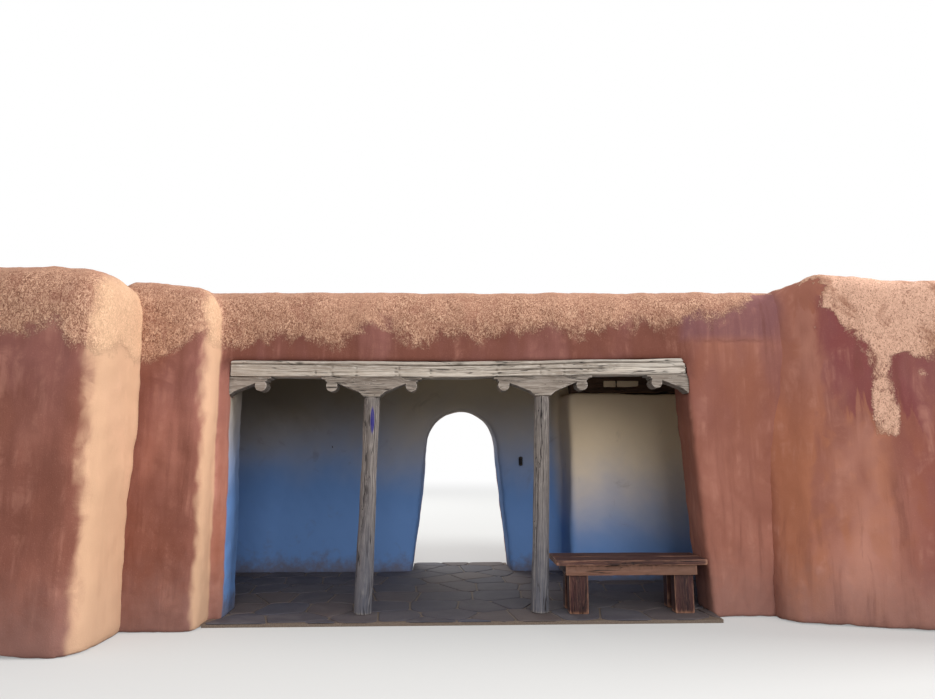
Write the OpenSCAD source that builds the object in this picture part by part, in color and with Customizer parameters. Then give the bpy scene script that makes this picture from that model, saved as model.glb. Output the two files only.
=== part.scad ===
// Adobe house: two battered earth wings with a deep timber porch between them.
// Front faces -Y, +X is to the right, z = 0 is the ground under the walls.
// The origin lies on the line of the porch posts, midway between the jambs.

/* [Porch] */
// Clear width between the porch jambs at beam height
opening_w = 4450; // [4300:10:4700]
// Height of the round posts above the stone floor
post_h = 2045; // [1950:5:2200]
// Diameter of the round posts at the floor
post_d = 170; // [150:5:200]
// Diameter of the round posts under the bolsters
post_top_d = 150; // [130:5:170]
// Distance from the middle of the porch to the left post
left_post_x = 900; // [800:10:1000]
// Distance from the middle of the porch to the right post
right_post_x = 785; // [700:5:900]
// How far the tops of the old posts lean to the right
post_lean = 50; // [0:5:60]
// Depth of the porch from the back of its front wall to its rear wall
porch_depth = 1910; // [1700:10:2200]
// Thickness of the stone floors
floor_t = 40; // [30:5:60]

/* [Carved timber] */
// Height of the porch beam
beam_h = 155; // [130:5:190]
// Width of the porch beam
beam_w = 240; // [220:5:280]
// Gap between each end of the porch beam and its jamb
beam_end_gap = 15; // [10:5:60]
// How far the beam climbs from the middle of the porch to its right end
beam_rise = 45; // [0:5:60]
// Height of the wall plate that carries the logs over the beam
plate_h = 100; // [80:5:120]
// Length of a carved bolster
bolster_l = 975; // [800:5:1040]
// Height of a carved bolster
bolster_h = 190; // [170:5:220]
// Thickness of a carved bolster
bolster_t = 180; // [150:5:200]
// Radius of the scroll knob under each end of a bolster
knob_r = 55; // [45:1:60]

/* [Earth walls] */
// Thickness of the wing walls at the ground
wall_t = 480; // [420:10:560]
// Thickness of the front wall of the porch
porch_wall_t = 350; // [300:10:420]
// Thickness of the wall with the arch
arch_wall_t = 700; // [600:10:800]
// How far a wing's outer face leans in over its height
batter = 90; // [60:5:120]
// Radius of the wing corners at the ground
corner_r = 200; // [150:10:300]
// Plan radius of the rounded parapet crests
crest_r = 300; // [220:10:300]
// Height over which a parapet rounds off
crest_drop = 380; // [250:10:420]
// Height of the left wing; the other parapets are set from it
wall_h = 3150; // [3050:10:3300]
// How far the right wing stands above the left one
right_step = 50; // [0:5:100]
// How far the near corner of the right wing stands above the rest of it
corner_rise = 100; // [0:10:180]
// Length over which the wing's top falls from its near corner
peak_run = 1900; // [1400:50:2400]
// How far the porch parapet stays below the left wing
porch_drop = 5; // [0:5:60]
// How far the parapet climbs towards each wing
parapet_rise = 50; // [0:5:80]

/* [Plan] */
// Width of the left wing
left_w = 4000; // [3600:50:5000]
// Width of the right wing
right_w = 3950; // [3600:50:5000]
// How far the left wing stands in front of the posts
left_front = 1230; // [1000:10:1500]
// How far the near corner of the right wing stands in front of the posts
right_front = 430; // [380:10:500]
// How much further forward the far corner of the right wing stands
right_skew = 1060; // [600:10:1300]
// How far the wings stand behind the arch wall
rear_reach = 940; // [700:10:1200]
// Width of the left pier
left_pier_w = 650; // [550:10:750]
// How far the left pier stands in front of the posts
left_pier_front = 486; // [400:2:600]
// Width of the left jamb
left_jamb_w = 100; // [80:5:140]
// Width of the right pier at beam height
right_pier_w = 760; // [700:10:860]
// How far the right jamb leans out at the ground
jamb_lean = 180; // [60:5:220]
// How far the left jamb leans in at the ground
left_jamb_lean = 15; // [0:5:80]
// How far the porch's front wall stands in front of the posts
porch_front = 130; // [120:5:200]
// Height of the plastered block in the right bay above the stone floor
block_h = 2216; // [2100:4:2300]
// Width of the plastered block
block_w = 1625; // [1400:5:1800]

/* [Arch] */
// Width of the arch at the floor
arch_w = 1250; // [1000:10:1400]
// Width of the arch at its springing
arch_top_w = 940; // [800:10:1000]
// Height of the springing above the stone floor
arch_spring = 1520; // [1400:10:1600]
// Height of the crown above the stone floor
arch_crown = 2030; // [1950:10:2150]
// Place of the arch's middle to the right of the porch's middle
arch_x = 80; // [0:5:150]

/* [Roofs] */
// Diameter of the round roof logs
log_d = 150; // [130:5:180]
// Spacing of the roof logs
log_pitch = 640; // [560:10:720]
// Thickness of the ceiling boards
board_t = 25; // [20:1:35]
// Thickness of the earth roofs
roof_t = 120; // [90:5:160]

/* [Rear doors and windows] */
// Width of a door opening
door_w = 900; // [800:10:1000]
// Height of a door opening above the stone floor
door_h = 2000; // [1900:10:2100]
// Width of a window opening
window_w = 900; // [700:10:1000]
// Height of a window opening
window_h = 1000; // [800:10:1100]
// Height of the window sills above the stone floor
sill_h = 900; // [800:10:1000]
// Width of a door or window frame's members
frame_w = 60; // [50:2:80]
// Depth of a door or window frame
frame_d = 100; // [80:5:140]
// Thickness of the door leaves
leaf_t = 45; // [36:1:55]
// Height of the timber lintels
lintel_h = 140; // [120:5:180]

/* [Bench] */
// Clear distance between the right post and the bench
bench_post_gap = 55; // [20:5:120]
// Clear distance between the bench and the foot of the right jamb
bench_jamb_gap = 25; // [5:5:60]
// Depth of the bench top
bench_d = 480; // [400:5:520]
// Height of the bench above the stone floor
bench_h = 500; // [440:5:540]
// Thickness of the bench top
bench_t = 50; // [40:1:60]
// Height of the bench apron
apron_h = 95; // [80:1:120]
// Width of a bench leg
bench_leg_w = 180; // [120:5:200]

/* [Hidden] */
$fn = 48;

// Clearance between a timber and the pocket or seat that holds it
seat_gap = 0.3;
// Overlap that keeps a cutting solid clear of the faces it cuts
cut = 10;
// Sides of a rounded earth corner
round_n = 28;
// A footing disc as thick as this starts each battered corner
footing_t = 1;

// Levels
post_top = floor_t + post_h;
beam_z = post_top + bolster_h;
beam_top = beam_z + beam_h;
log_z = beam_top + plate_h;
ceiling_z = log_z + log_d + 2 * seat_gap;
roof_z = ceiling_z + board_t + seat_gap;
roof_top = roof_z + roof_t;
left_h = wall_h;
right_h = wall_h + right_step;
porch_h = wall_h - porch_drop;
over = 500;
tall = right_h + corner_rise + over;

// Plan lines
jamb_left = -opening_w / 2;
jamb_right = opening_w / 2;
beam_l = opening_w - 2 * beam_end_gap;
left_x = jamb_left - left_jamb_w - left_pier_w;
right_x = jamb_right + right_pier_w;
arch_front = porch_wall_t + porch_depth;
arch_rear = arch_front + arch_wall_t;
rear_y = arch_rear + rear_reach;
left_end = left_x - left_w;
right_end = right_x + right_w;
right_far_front = -right_front - right_skew;

// Corners of the rooms, going round from the front corner beside the porch
left_room = [
    [left_x - wall_t, -left_front + wall_t],
    [left_end + wall_t, -left_front + wall_t],
    [left_end + wall_t, rear_y - wall_t],
    [left_x - wall_t, rear_y - wall_t]
];
right_room = [
    [right_x + wall_t, -right_front + wall_t - right_skew * wall_t / right_w],
    [right_end - wall_t, right_far_front + wall_t + right_skew * wall_t / right_w],
    [right_end - wall_t, rear_y - wall_t],
    [right_x + wall_t, rear_y - wall_t]
];

// Wing corners: place at the ground, direction inwards, lean in x and y, height, crest radius.
// The faces beside the porch are plumb behind its front wall.
near_lean = [430, 26];
near_crest_r = 150;
side_start = 60;
left_corners = [
    [left_x, -left_front, -1, 1, 0, batter, left_h, crest_r],
    [left_end, -left_front, 1, 1, batter, batter, left_h, crest_r],
    [left_end, rear_y, 1, -1, batter, batter, left_h, crest_r],
    [left_x, rear_y, -1, -1, 0, batter, left_h, crest_r]
];
right_corners = [
    [right_x, -right_front, 1, 1, near_lean[0], near_lean[1], right_h, near_crest_r],
    [right_x, -side_start, 1, 1, 0, 0, right_h, crest_r],
    [right_end, right_far_front, -1, 1, batter, batter, right_h, crest_r],
    [right_end, rear_y, -1, -1, batter, batter, right_h, crest_r],
    [right_x, rear_y, 1, -1, 0, batter, right_h, crest_r]
];

// Higher top over the near corner of the right wing
peak_front = right_front + right_skew * (peak_run - 2 * corner_r) / (right_w - 2 * corner_r);
right_peak = [
    [right_x, -right_front, 1, 1, near_lean[0], near_lean[1], right_h + corner_rise,
        near_crest_r],
    [right_x, -side_start, 1, 1, 0, 0, right_h, crest_r],
    [right_x + peak_run, -peak_front, -1, 1, 0, 2 * batter, right_h, crest_r]
];

// Roof logs run across each wing and from front to back over the porch
log_bearing = 220;
log_margin = 260;
log_cut_w = log_d + 2 * seat_gap;

// Rear doors and windows stand at these distances from each wing's porch side
door_from_side = 1250;
window_from_side = 2750;
rear_openings_x = [
    [left_x - door_from_side, left_x - window_from_side],
    [right_x + door_from_side, right_x + window_from_side]
];
lintel_bearing = 200;
lintel_d = 220;
lintel_proud = 15;
frame_set_back = 150;
leaf_gap = 3;
door_sill = 30;
door_stop = 15;
glass_t = 6;
rebate = 12;

// Spouts
spout_w = 170;
spout_h = 120;
spout_wall = 25;
spout_out = 350;
spout_places = [
    [left_x - left_w / 2, rear_y],
    [arch_x, arch_rear],
    [right_x + right_w / 2, rear_y]
];

// Porch timber
tip_t = 18;
tip_steps = [[37, 22], [42, 42], [60, 48]];
knob_in = 100;
knob_drop = 86;
waist_in = 156;
waist_drop = 62;
foot_half = 80;
foot_steps = [[42, 42], [26, 24], [8, 14]];
lip_drop = 45;
lip_proud = 8;
bead_h = 16;
corbel_set_in = 110;
corbel_bearing = 200;

// Bay block
block_x = right_x - block_w;
block_d = 700;
block_top = floor_t + block_h;
block_round = 60;
header_d = 180;
header_set_back = 40;
infill_t = 15;
infill_low = 78;
infill_h = 78;
infill_panels = [[447, 152], [617, 270]];

// Bench
bench_top_z = floor_t + bench_h;
bench_x = right_post_x - post_lean / 2 + post_d / 2 + bench_post_gap;
bench_l = jamb_right + jamb_lean * (1 - bench_top_z / beam_top) - bench_jamb_gap - bench_x;
bench_front = -180;
bench_inset = 95;
apron_t = 30;
bench_leg_d = 120;

// Lamp
lamp_from_arch = 141;
lamp_x = arch_x + arch_w / 2 + lamp_from_arch;
lamp_z = 1420;
lamp_w = 60;
lamp_h = 120;
lamp_out = 60;

// Egg that rounds off a crest at a corner; it touches height z at its top
module crest(x, y, z, rx, ry) {
    translate([x, y, z - crest_drop])
        scale([rx, ry, crest_drop])
            sphere(r = 1, $fn = round_n);
}

// Earth mass: a footing disc and a crest at every corner, with one skin drawn over them
module earth_mass(corners, foot_r) {
    hull() {
        for (c = corners) {
            translate([c[0] + c[2] * foot_r, c[1] + c[3] * foot_r, 0])
                cylinder(h = footing_t, r = foot_r, $fn = round_n);
            crest(c[0] + c[2] * (c[4] + c[7]), c[1] + c[3] * (c[5] + c[7]), c[6], c[7], c[7]);
        }
    }
}

// Low earth body with flat top: rounded upright edges between two levels
module earth_body(low, high, edge_r) {
    hull() {
        for (p = low)
            translate([p[0], p[1], p[2]])
                cylinder(h = footing_t, r = edge_r, $fn = round_n);
        for (p = high)
            translate([p[0], p[1], p[2] - footing_t])
                cylinder(h = footing_t, r = edge_r, $fn = round_n);
    }
}

module left_mass() {
    earth_mass(left_corners, corner_r);
}

module right_mass() {
    union() {
        earth_mass(right_corners, corner_r);
        earth_mass(right_peak, corner_r);
    }
}

// Upright prism over a room, from under the ground to over the parapets
module room_void(room) {
    translate([0, 0, -cut])
        linear_extrude(height = tall)
            polygon(room);
}

// Box between two corners
module block(low, high) {
    translate(low)
        cube([high[0] - low[0], high[1] - low[1], high[2] - low[2]]);
}

function steps(low, high, pitch) =
    let (n = max(1, floor((high - low) / pitch)))
    [for (i = [0:n]) low + i * (high - low) / n];

// Places of the logs
wing_log_y = steps(log_margin - left_front + wall_t, rear_y - wall_t - log_margin, log_pitch);
right_log_y = steps(right_room[0][1] + log_margin, rear_y - wall_t - log_margin, log_pitch);
portal_log_x = steps(left_x + log_margin, right_x - log_margin, log_pitch);

// Square-sided pockets for logs that run across a wing
module wing_log_pockets(x_low, x_high, places) {
    for (y = places)
        block([x_low, y - log_cut_w / 2, log_z], [x_high, y + log_cut_w / 2, ceiling_z]);
}

// Pockets for the porch's logs, from the beam to the arch wall
module portal_log_pockets() {
    for (x = portal_log_x)
        block([x - log_cut_w / 2, -seat_gap, log_z],
              [x + log_cut_w / 2, arch_front + log_bearing + seat_gap, ceiling_z]);
}

// Rear door and window holes of one wing
module rear_holes(side) {
    door_x = rear_openings_x[side][0];
    window_x = rear_openings_x[side][1];
    block([door_x - door_w / 2, rear_y - wall_t - cut, -cut],
          [door_x + door_w / 2, rear_y + cut, floor_t + door_h]);
    block([window_x - window_w / 2, rear_y - wall_t - cut, floor_t + sill_h],
          [window_x + window_w / 2, rear_y + cut, floor_t + sill_h + window_h]);
    for (o = [[door_x, door_w, floor_t + door_h], [window_x, window_w, floor_t + sill_h + window_h]])
        lintel(o[0], o[1], o[2], seat_gap);
}

// Timber lintel over one hole, or its pocket when grown by a gap
module lintel(x, w, z, gap) {
    block([x - w / 2 - lintel_bearing - gap, rear_y - batter * z / left_h - lintel_d - gap, z],
          [x + w / 2 + lintel_bearing + gap, rear_y - batter * z / left_h + lintel_proud + gap,
           z + lintel_h + gap]);
}

// Hole for a spout through a rear parapet
module spout_hole(place) {
    block([place[0] - spout_w / 2 - seat_gap, place[1] - wall_t - arch_wall_t, roof_top],
          [place[0] + spout_w / 2 + seat_gap, place[1] + cut, roof_top + spout_h + seat_gap]);
}

// One wing's shell, open to the room
module left_shell() {
    difference() {
        left_mass();
        room_void(left_room);
        wing_log_pockets(left_room[1][0] - log_bearing, left_room[0][0] + log_bearing, wing_log_y);
    }
}

module right_shell() {
    difference() {
        right_mass();
        room_void(right_room);
        wing_log_pockets(right_room[0][0] - log_bearing, right_room[1][0] + log_bearing, right_log_y);
    }
}

module left_front_wall() {
    color("sandybrown")
        intersection() {
            left_shell();
            block([left_end - cut, -left_front - cut, -cut], [left_x + cut, left_room[0][1], tall]);
        }
}

module left_end_wall() {
    color("peru")
        intersection() {
            left_shell();
            block([left_end - cut, left_room[1][1], -cut], [left_room[1][0], left_room[2][1], tall]);
        }
}

module left_inner_wall() {
    color("peru")
        intersection() {
            left_shell();
            block([left_room[0][0], left_room[0][1], -cut], [left_x + cut, left_room[3][1], tall]);
        }
}

module left_rear_wall() {
    color("sandybrown")
        difference() {
            intersection() {
                left_shell();
                block([left_end - cut, left_room[2][1], -cut], [left_x + cut, rear_y + cut, tall]);
            }
            rear_holes(0);
            spout_hole(spout_places[0]);
        }
}

// Ground in front of the right room's slanting front line
module right_front_region() {
    linear_extrude(height = tall)
        polygon([
            [right_x - cut, right_room[0][1]],
            right_room[0],
            right_room[1],
            [right_end + cut, right_room[1][1]],
            [right_end + cut, right_far_front - crest_r],
            [right_x - cut, right_far_front - crest_r]
        ]);
}

module right_front_wall() {
    color("sandybrown")
        intersection() {
            right_shell();
            right_front_region();
        }
}

module right_end_wall() {
    color("peru")
        intersection() {
            right_shell();
            block([right_room[1][0], right_room[1][1], -cut],
                  [right_end + cut, right_room[2][1], tall]);
        }
}

module right_inner_wall() {
    color("peru")
        intersection() {
            right_shell();
            block([right_x - cut, right_room[0][1], -cut],
                  [right_room[0][0], right_room[3][1], tall]);
        }
}

module right_rear_wall() {
    color("sandybrown")
        difference() {
            intersection() {
                right_shell();
                block([right_x - cut, right_room[2][1], -cut], [right_end + cut, rear_y + cut, tall]);
            }
            rear_holes(1);
            spout_hole(spout_places[2]);
        }
}

// Tall pier between the left wing and the porch, with the lower jamb beside the opening
pier_edge_r = 110;
pier_crest_r = 220;
jamb_edge_r = 50;
pier_right = jamb_left - left_jamb_w;
pier_corners = [
    [pier_right, -left_pier_front, -1, 1, 0, batter, porch_h, pier_crest_r],
    [pier_right, porch_wall_t, -1, -1, 0, 0, porch_h, pier_crest_r],
    [left_x - wall_t / 2, -left_pier_front, 1, 1, 0, batter, porch_h + parapet_rise, pier_crest_r],
    [left_x - wall_t / 2, porch_wall_t, 1, -1, 0, 0, porch_h + parapet_rise, pier_crest_r]
];

module pier_mass() {
    earth_mass(pier_corners, pier_edge_r);
}

module left_pier() {
    color("sandybrown")
        difference() {
            union() {
                pier_mass();
                earth_body(
                    [for (x = [pier_right - pier_crest_r, jamb_left + left_jamb_lean - jamb_edge_r],
                          y = [jamb_edge_r - porch_front, porch_wall_t - jamb_edge_r]) [x, y, 0]],
                    [for (x = [pier_right - pier_crest_r, jamb_left - jamb_edge_r],
                          y = [jamb_edge_r - porch_front, porch_wall_t - jamb_edge_r]) [x, y, beam_top]],
                    jamb_edge_r);
            }
            left_mass();
            corbel_seat(-1);
            portal_log_pockets();
        }
}

// Pier beside the right wing; its jamb leans out towards the ground
module right_pier() {
    color("sandybrown")
        difference() {
            earth_body(
                [for (x = [jamb_right + jamb_lean + jamb_edge_r, right_x + wall_t / 2],
                      y = [jamb_edge_r - porch_front, porch_wall_t - jamb_edge_r]) [x, y, 0]],
                [for (x = [jamb_right + jamb_edge_r, right_x + wall_t / 2],
                      y = [jamb_edge_r - porch_front, porch_wall_t - jamb_edge_r]) [x, y, beam_top]],
                jamb_edge_r);
            right_mass();
            corbel_seat(1);
        }
}

// Rounded parapet that runs from pier to wing over the porch beam; it swells forward at the pier
parapet_swell = 30;
parapet_ends = [
    [pier_right - pier_crest_r, porch_front + parapet_swell, porch_h],
    [right_x + wall_t / 2, porch_front, porch_h + parapet_rise]
];
parapet_edge_r = 40;
module portal_parapet() {
    color("sandybrown")
        difference() {
            hull() {
                for (e = parapet_ends) {
                    for (y = [-e[1] + parapet_edge_r, porch_wall_t - parapet_edge_r])
                        translate([e[0], y, beam_top])
                            cylinder(h = footing_t, r = parapet_edge_r, $fn = round_n);
                    crest(e[0], (porch_wall_t - e[1]) / 2, e[2], parapet_edge_r,
                          (porch_wall_t + e[1]) / 2);
                }
            }
            pier_mass();
            right_mass();
            portal_log_pockets();
            beam_run(0, beam_h + seat_gap, -left_front, beam_w / 2 + seat_gap, seat_gap);
            block([-beam_l / 2 - seat_gap, -seat_gap, beam_top - cut],
                  [beam_l / 2 + seat_gap, beam_w / 2 + seat_gap, log_z + cut]);
            block([left_x, -left_front, 0], [right_end, arch_rear, beam_top]);
        }
}

// Outline of the arch: leaning jambs under a half ellipse
function arch_outline() = concat(
    [[-arch_w / 2, -cut], [-arch_w / 2, floor_t]],
    [for (a = [180:-9:0])
        [arch_top_w / 2 * cos(a), floor_t + arch_spring + (arch_crown - arch_spring) * sin(a)]],
    [[arch_w / 2, floor_t], [arch_w / 2, -cut]]);

module arch_wall() {
    color("wheat")
        difference() {
            hull() {
                for (x = [left_x - wall_t / 2, right_x + wall_t / 2]) {
                    block([x - 1, arch_front, 0], [x + 1, arch_rear, footing_t]);
                    crest(x, arch_front + (arch_wall_t - batter) / 2, porch_h, parapet_edge_r,
                          (arch_wall_t - batter) / 2);
                }
            }
            translate([arch_x, arch_rear + cut, 0])
                rotate([90, 0, 0])
                    linear_extrude(height = arch_wall_t + 2 * cut)
                        polygon(arch_outline());
            left_mass();
            right_mass();
            portal_log_pockets();
            spout_hole(spout_places[1]);
        }
}

// Low plastered mass that fills the back of the right bay
module bay_block() {
    color("wheat")
        linear_extrude(height = block_top)
            union() {
                translate([block_x + block_round, arch_front - block_d + block_round])
                    circle(r = block_round);
                polygon([
                    [block_x + block_round, arch_front - block_d],
                    [right_x - seat_gap, arch_front - block_d],
                    [right_x - seat_gap, arch_front - seat_gap],
                    [block_x, arch_front - seat_gap],
                    [block_x, arch_front - block_d + block_round],
                    [block_x + block_round, arch_front - block_d + block_round]
                ]);
            }
}

header_front = arch_front - block_d + header_set_back;

// Dark timber laid along the block under the roof logs
module block_header() {
    color("saddlebrown")
        difference() {
            block([block_x + header_set_back, header_front, block_top + seat_gap],
                  [right_x - seat_gap, header_front + header_d, log_z - seat_gap]);
            for (p = infill_panels)
                block([block_x + p[0], header_front - cut, block_top + infill_low],
                      [block_x + p[0] + p[1], header_front + infill_t,
                       block_top + infill_low + infill_h]);
        }
}

module block_infill() {
    color("tan")
        for (p = infill_panels)
            block([block_x + p[0] + seat_gap, header_front + seat_gap,
                   block_top + infill_low + seat_gap],
                  [block_x + p[0] + p[1] - seat_gap, header_front + infill_t - seat_gap,
                   block_top + infill_low + infill_h - seat_gap]);
}

// Rise of the old beam over its place along the porch
function rise(x) = beam_rise * max(0, x) / (beam_l / 2);

// Length of the beam between two heights over its underside and two faces
module beam_run(low, high, y_low, y_high, gap = 0) {
    ends = [-beam_l / 2 - gap, 0, beam_l / 2 + gap];
    translate([0, y_high, beam_z])
        rotate([90, 0, 0])
            linear_extrude(height = y_high - y_low)
                polygon(concat([for (x = ends) [x, low + rise(x)]],
                               [for (i = [2:-1:0]) [ends[i], high + rise(ends[i])]]));
}

// Moulded beam: a proud lip along its top and a bead along its lower edge
module portal_beam() {
    face = lip_proud - beam_w / 2;
    color("gainsboro")
        union() {
            beam_run(0, beam_h, face, beam_w / 2);
            beam_run(beam_h - lip_drop, beam_h, -beam_w / 2, face + lip_proud);
            beam_run(0, bead_h, -beam_w / 2, face + lip_proud);
        }
}

// Plate that lies along the back of the beam under the logs
module wall_plate() {
    color("burlywood")
        translate([0, beam_w / 2, 0])
            rotate([90, 0, 0])
                linear_extrude(height = beam_w / 2)
                    polygon([
                        [-beam_l / 2, beam_top],
                        [0, beam_top],
                        [beam_l / 2, beam_top + rise(beam_l / 2)],
                        [beam_l / 2, log_z],
                        [-beam_l / 2, log_z]
                    ]);
}

// Half of a bolster from its middle at x to a stepped tip; side is -1 when the tip points left.
// Its top follows the beam, and its foot is level.
module bolster_half(x, side, tail) {
    tip = bolster_l / 2;
    outline = concat(
        [[-tail, 0], [tip, 0], [tip, -tip_t]],
        [for (p = tip_steps) [tip - p[0], -p[1]]],
        [[tip - knob_in, -knob_drop], [tip - waist_in, -waist_drop]],
        [for (f = foot_steps) [foot_half + f[0], f[1] - bolster_h]],
        [[foot_half, -bolster_h], [-tail, -bolster_h]]
    );
    function placed(p) = [
        x + side * p[0],
        p[1] + rise(x) + (rise(x + side * p[0]) - rise(x)) * (1 + p[1] / bolster_h)
    ];
    knob = placed([tip - knob_in, -knob_drop]);
    translate([0, bolster_t / 2, beam_z])
        rotate([90, 0, 0])
            union() {
                linear_extrude(height = bolster_t)
                    polygon([for (p = outline) placed(p)]);
                translate([knob[0], knob[1], 0])
                    cylinder(h = bolster_t, r = knob_r);
            }
}

module bolster(x) {
    color("silver")
        union() {
            bolster_half(x, -1, 0);
            bolster_half(x, 1, 0);
        }
}

module left_bolster() {
    bolster(post_lean / 2 - left_post_x);
}

module right_bolster() {
    bolster(post_lean / 2 + right_post_x);
}

// Half bolster that grows out of a jamb; side is -1 on the left and 1 on the right
module corbel(side) {
    color("silver")
        bolster_half(side * (opening_w / 2 + corbel_set_in), -side, corbel_bearing - corbel_set_in);
}

// Pocket in a pier for the corbel's tail and the ends of the beam and its plate
module corbel_seat(side) {
    lift = rise(side * (opening_w / 2 + corbel_set_in));
    inner = opening_w / 2 - corbel_set_in;
    outer = opening_w / 2 + corbel_bearing + seat_gap;
    mirror([side < 0 ? 1 : 0, 0, 0]) {
        block([inner, -bolster_t / 2 - seat_gap, beam_z + lift - bolster_h - seat_gap],
              [outer, bolster_t / 2 + seat_gap, beam_top]);
        block([inner, -porch_front - cut, beam_z],
              [beam_l / 2 + seat_gap, beam_w / 2 + seat_gap, beam_top + cut]);
        block([inner, -seat_gap, beam_top],
              [beam_l / 2 + seat_gap, beam_w / 2 + seat_gap, log_z + seat_gap]);
    }
}

module left_corbel() {
    corbel(-1);
}

module right_corbel() {
    corbel(1);
}

// Round tapered post with a slight lean, cut level at its foot and head
module post(x) {
    lean = atan(post_lean / post_h);
    head = post_h + rise(x + post_lean);
    color("darkgray")
        translate([x, 0, floor_t])
            intersection() {
                rotate([0, lean, 0])
                    translate([0, 0, -cut])
                        cylinder(h = post_h + beam_rise + 3 * cut, d1 = post_d, d2 = post_top_d);
                block([-post_d, -post_d, 0], [post_d + post_lean, post_d, head]);
            }
}

module left_post() {
    post(-left_post_x - post_lean / 2);
}

module right_post() {
    post(right_post_x - post_lean / 2);
}

// Roof logs
module portal_logs() {
    color("burlywood")
        for (x = portal_log_x)
            translate([x, 0, log_z + seat_gap + log_d / 2])
                rotate([-90, 0, 0])
                    cylinder(h = arch_front + log_bearing, d = log_d);
}

module wing_logs(x_low, x_high, places) {
    for (y = places)
        translate([x_low - log_bearing + seat_gap, y, log_z + seat_gap + log_d / 2])
            rotate([0, 90, 0])
                cylinder(h = x_high - x_low + 2 * log_bearing - 2 * seat_gap, d = log_d);
}

module left_logs() {
    color("burlywood")
        wing_logs(left_room[1][0], left_room[0][0], wing_log_y);
}

module right_logs() {
    color("burlywood")
        wing_logs(right_room[0][0], right_room[1][0], right_log_y);
}

// Sheet that fills a room's plan between two levels, a hair clear of its walls
module room_sheet(room, z, t) {
    gap = 2 * seat_gap;
    translate([0, 0, z])
        linear_extrude(height = t)
            polygon([for (i = [0:3]) [
                room[i][0] + (room[i][0] == max(room[0][0], room[1][0]) ? -gap : gap),
                room[i][1] + (i < 2 ? gap : -gap)
            ]]);
}

module portal_sheet(z, t) {
    block([left_x + seat_gap, porch_wall_t + seat_gap, z],
          [right_x - seat_gap, arch_front - seat_gap, z + t]);
}

module portal_ceiling() {
    color("tan")
        portal_sheet(ceiling_z, board_t);
}

module left_ceiling() {
    color("tan")
        room_sheet(left_room, ceiling_z, board_t);
}

module right_ceiling() {
    color("tan")
        room_sheet(right_room, ceiling_z, board_t);
}

module portal_roof() {
    color("rosybrown")
        portal_sheet(roof_z, roof_t);
}

module left_roof() {
    color("rosybrown")
        room_sheet(left_room, roof_z, roof_t);
}

module right_roof() {
    color("rosybrown")
        room_sheet(right_room, roof_z, roof_t);
}

// Stone floors
floor_front = 330;
module portal_floor() {
    jamb_foot = jamb_left + left_jamb_lean;
    color("dimgray")
        linear_extrude(height = floor_t)
            polygon([
                [pier_right, -floor_front],
                [jamb_right + jamb_lean, -floor_front],
                [jamb_right + jamb_lean, porch_wall_t],
                [right_x, porch_wall_t],
                [right_x, arch_front - block_d],
                [block_x, arch_front - block_d],
                [block_x, arch_front],
                [arch_x + arch_w / 2, arch_front],
                [arch_x + arch_w / 2, arch_rear],
                [arch_x - arch_w / 2, arch_rear],
                [arch_x - arch_w / 2, arch_front],
                [left_x, arch_front],
                [left_x, porch_wall_t],
                [jamb_foot, porch_wall_t],
                [jamb_foot, -porch_front],
                [pier_right, -porch_front]
            ]);
}

// Room floor with its tongue through the rear doorway
module room_floor(room, side) {
    room_sheet(room, 0, floor_t);
    block([rear_openings_x[side][0] - door_w / 2 + 2 * seat_gap, rear_y - wall_t - cut, 0],
          [rear_openings_x[side][0] + door_w / 2 - 2 * seat_gap, rear_y - seat_gap, floor_t]);
}

module left_floor() {
    color("dimgray")
        room_floor(left_room, 0);
}

module right_floor() {
    color("dimgray")
        room_floor(right_room, 1);
}

// Rear doors and windows
frame_y = rear_y - frame_set_back - frame_d;
leaf_y = frame_y + frame_d - leaf_t;

module door_leaves() {
    color("saddlebrown")
        for (o = rear_openings_x)
            block([o[0] - door_w / 2 + frame_w + leaf_gap, leaf_y,
                   floor_t + door_sill + leaf_gap],
                  [o[0] + door_w / 2 - frame_w - leaf_gap, frame_y + frame_d,
                   floor_t + door_h - frame_w - leaf_gap]);
}

module door_frames() {
    color("sienna")
        for (o = rear_openings_x)
            difference() {
                block([o[0] - door_w / 2 + seat_gap, frame_y, floor_t],
                      [o[0] + door_w / 2 - seat_gap, frame_y + frame_d, floor_t + door_h - seat_gap]);
                block([o[0] - door_w / 2 + frame_w + door_stop, frame_y - cut, floor_t + door_sill],
                      [o[0] + door_w / 2 - frame_w - door_stop, frame_y + frame_d + cut,
                       floor_t + door_h - frame_w - door_stop]);
                block([o[0] - door_w / 2 + frame_w, leaf_y - seat_gap, floor_t + door_sill],
                      [o[0] + door_w / 2 - frame_w, frame_y + frame_d + cut,
                       floor_t + door_h - frame_w]);
            }
}

module window_frames() {
    color("sienna")
        for (o = rear_openings_x)
            difference() {
                block([o[1] - window_w / 2 + seat_gap, frame_y, floor_t + sill_h],
                      [o[1] + window_w / 2 - seat_gap, frame_y + frame_d,
                       floor_t + sill_h + window_h - seat_gap]);
                block([o[1] - window_w / 2 + frame_w, frame_y - cut, floor_t + sill_h + frame_w],
                      [o[1] + window_w / 2 - frame_w, frame_y + frame_d + cut,
                       floor_t + sill_h + window_h - frame_w]);
                block([o[1] - window_w / 2 + frame_w - rebate, frame_y - cut,
                       floor_t + sill_h + frame_w - rebate],
                      [o[1] + window_w / 2 - frame_w + rebate, frame_y + frame_d / 2,
                       floor_t + sill_h + window_h - frame_w + rebate]);
            }
}

module window_glass() {
    color("lightblue")
        for (o = rear_openings_x)
            block([o[1] - window_w / 2 + frame_w - rebate + seat_gap,
                   frame_y + frame_d / 2 - glass_t - seat_gap,
                   floor_t + sill_h + frame_w - rebate + seat_gap],
                  [o[1] + window_w / 2 - frame_w + rebate - seat_gap,
                   frame_y + frame_d / 2 - seat_gap,
                   floor_t + sill_h + window_h - frame_w + rebate - seat_gap]);
}

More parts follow.
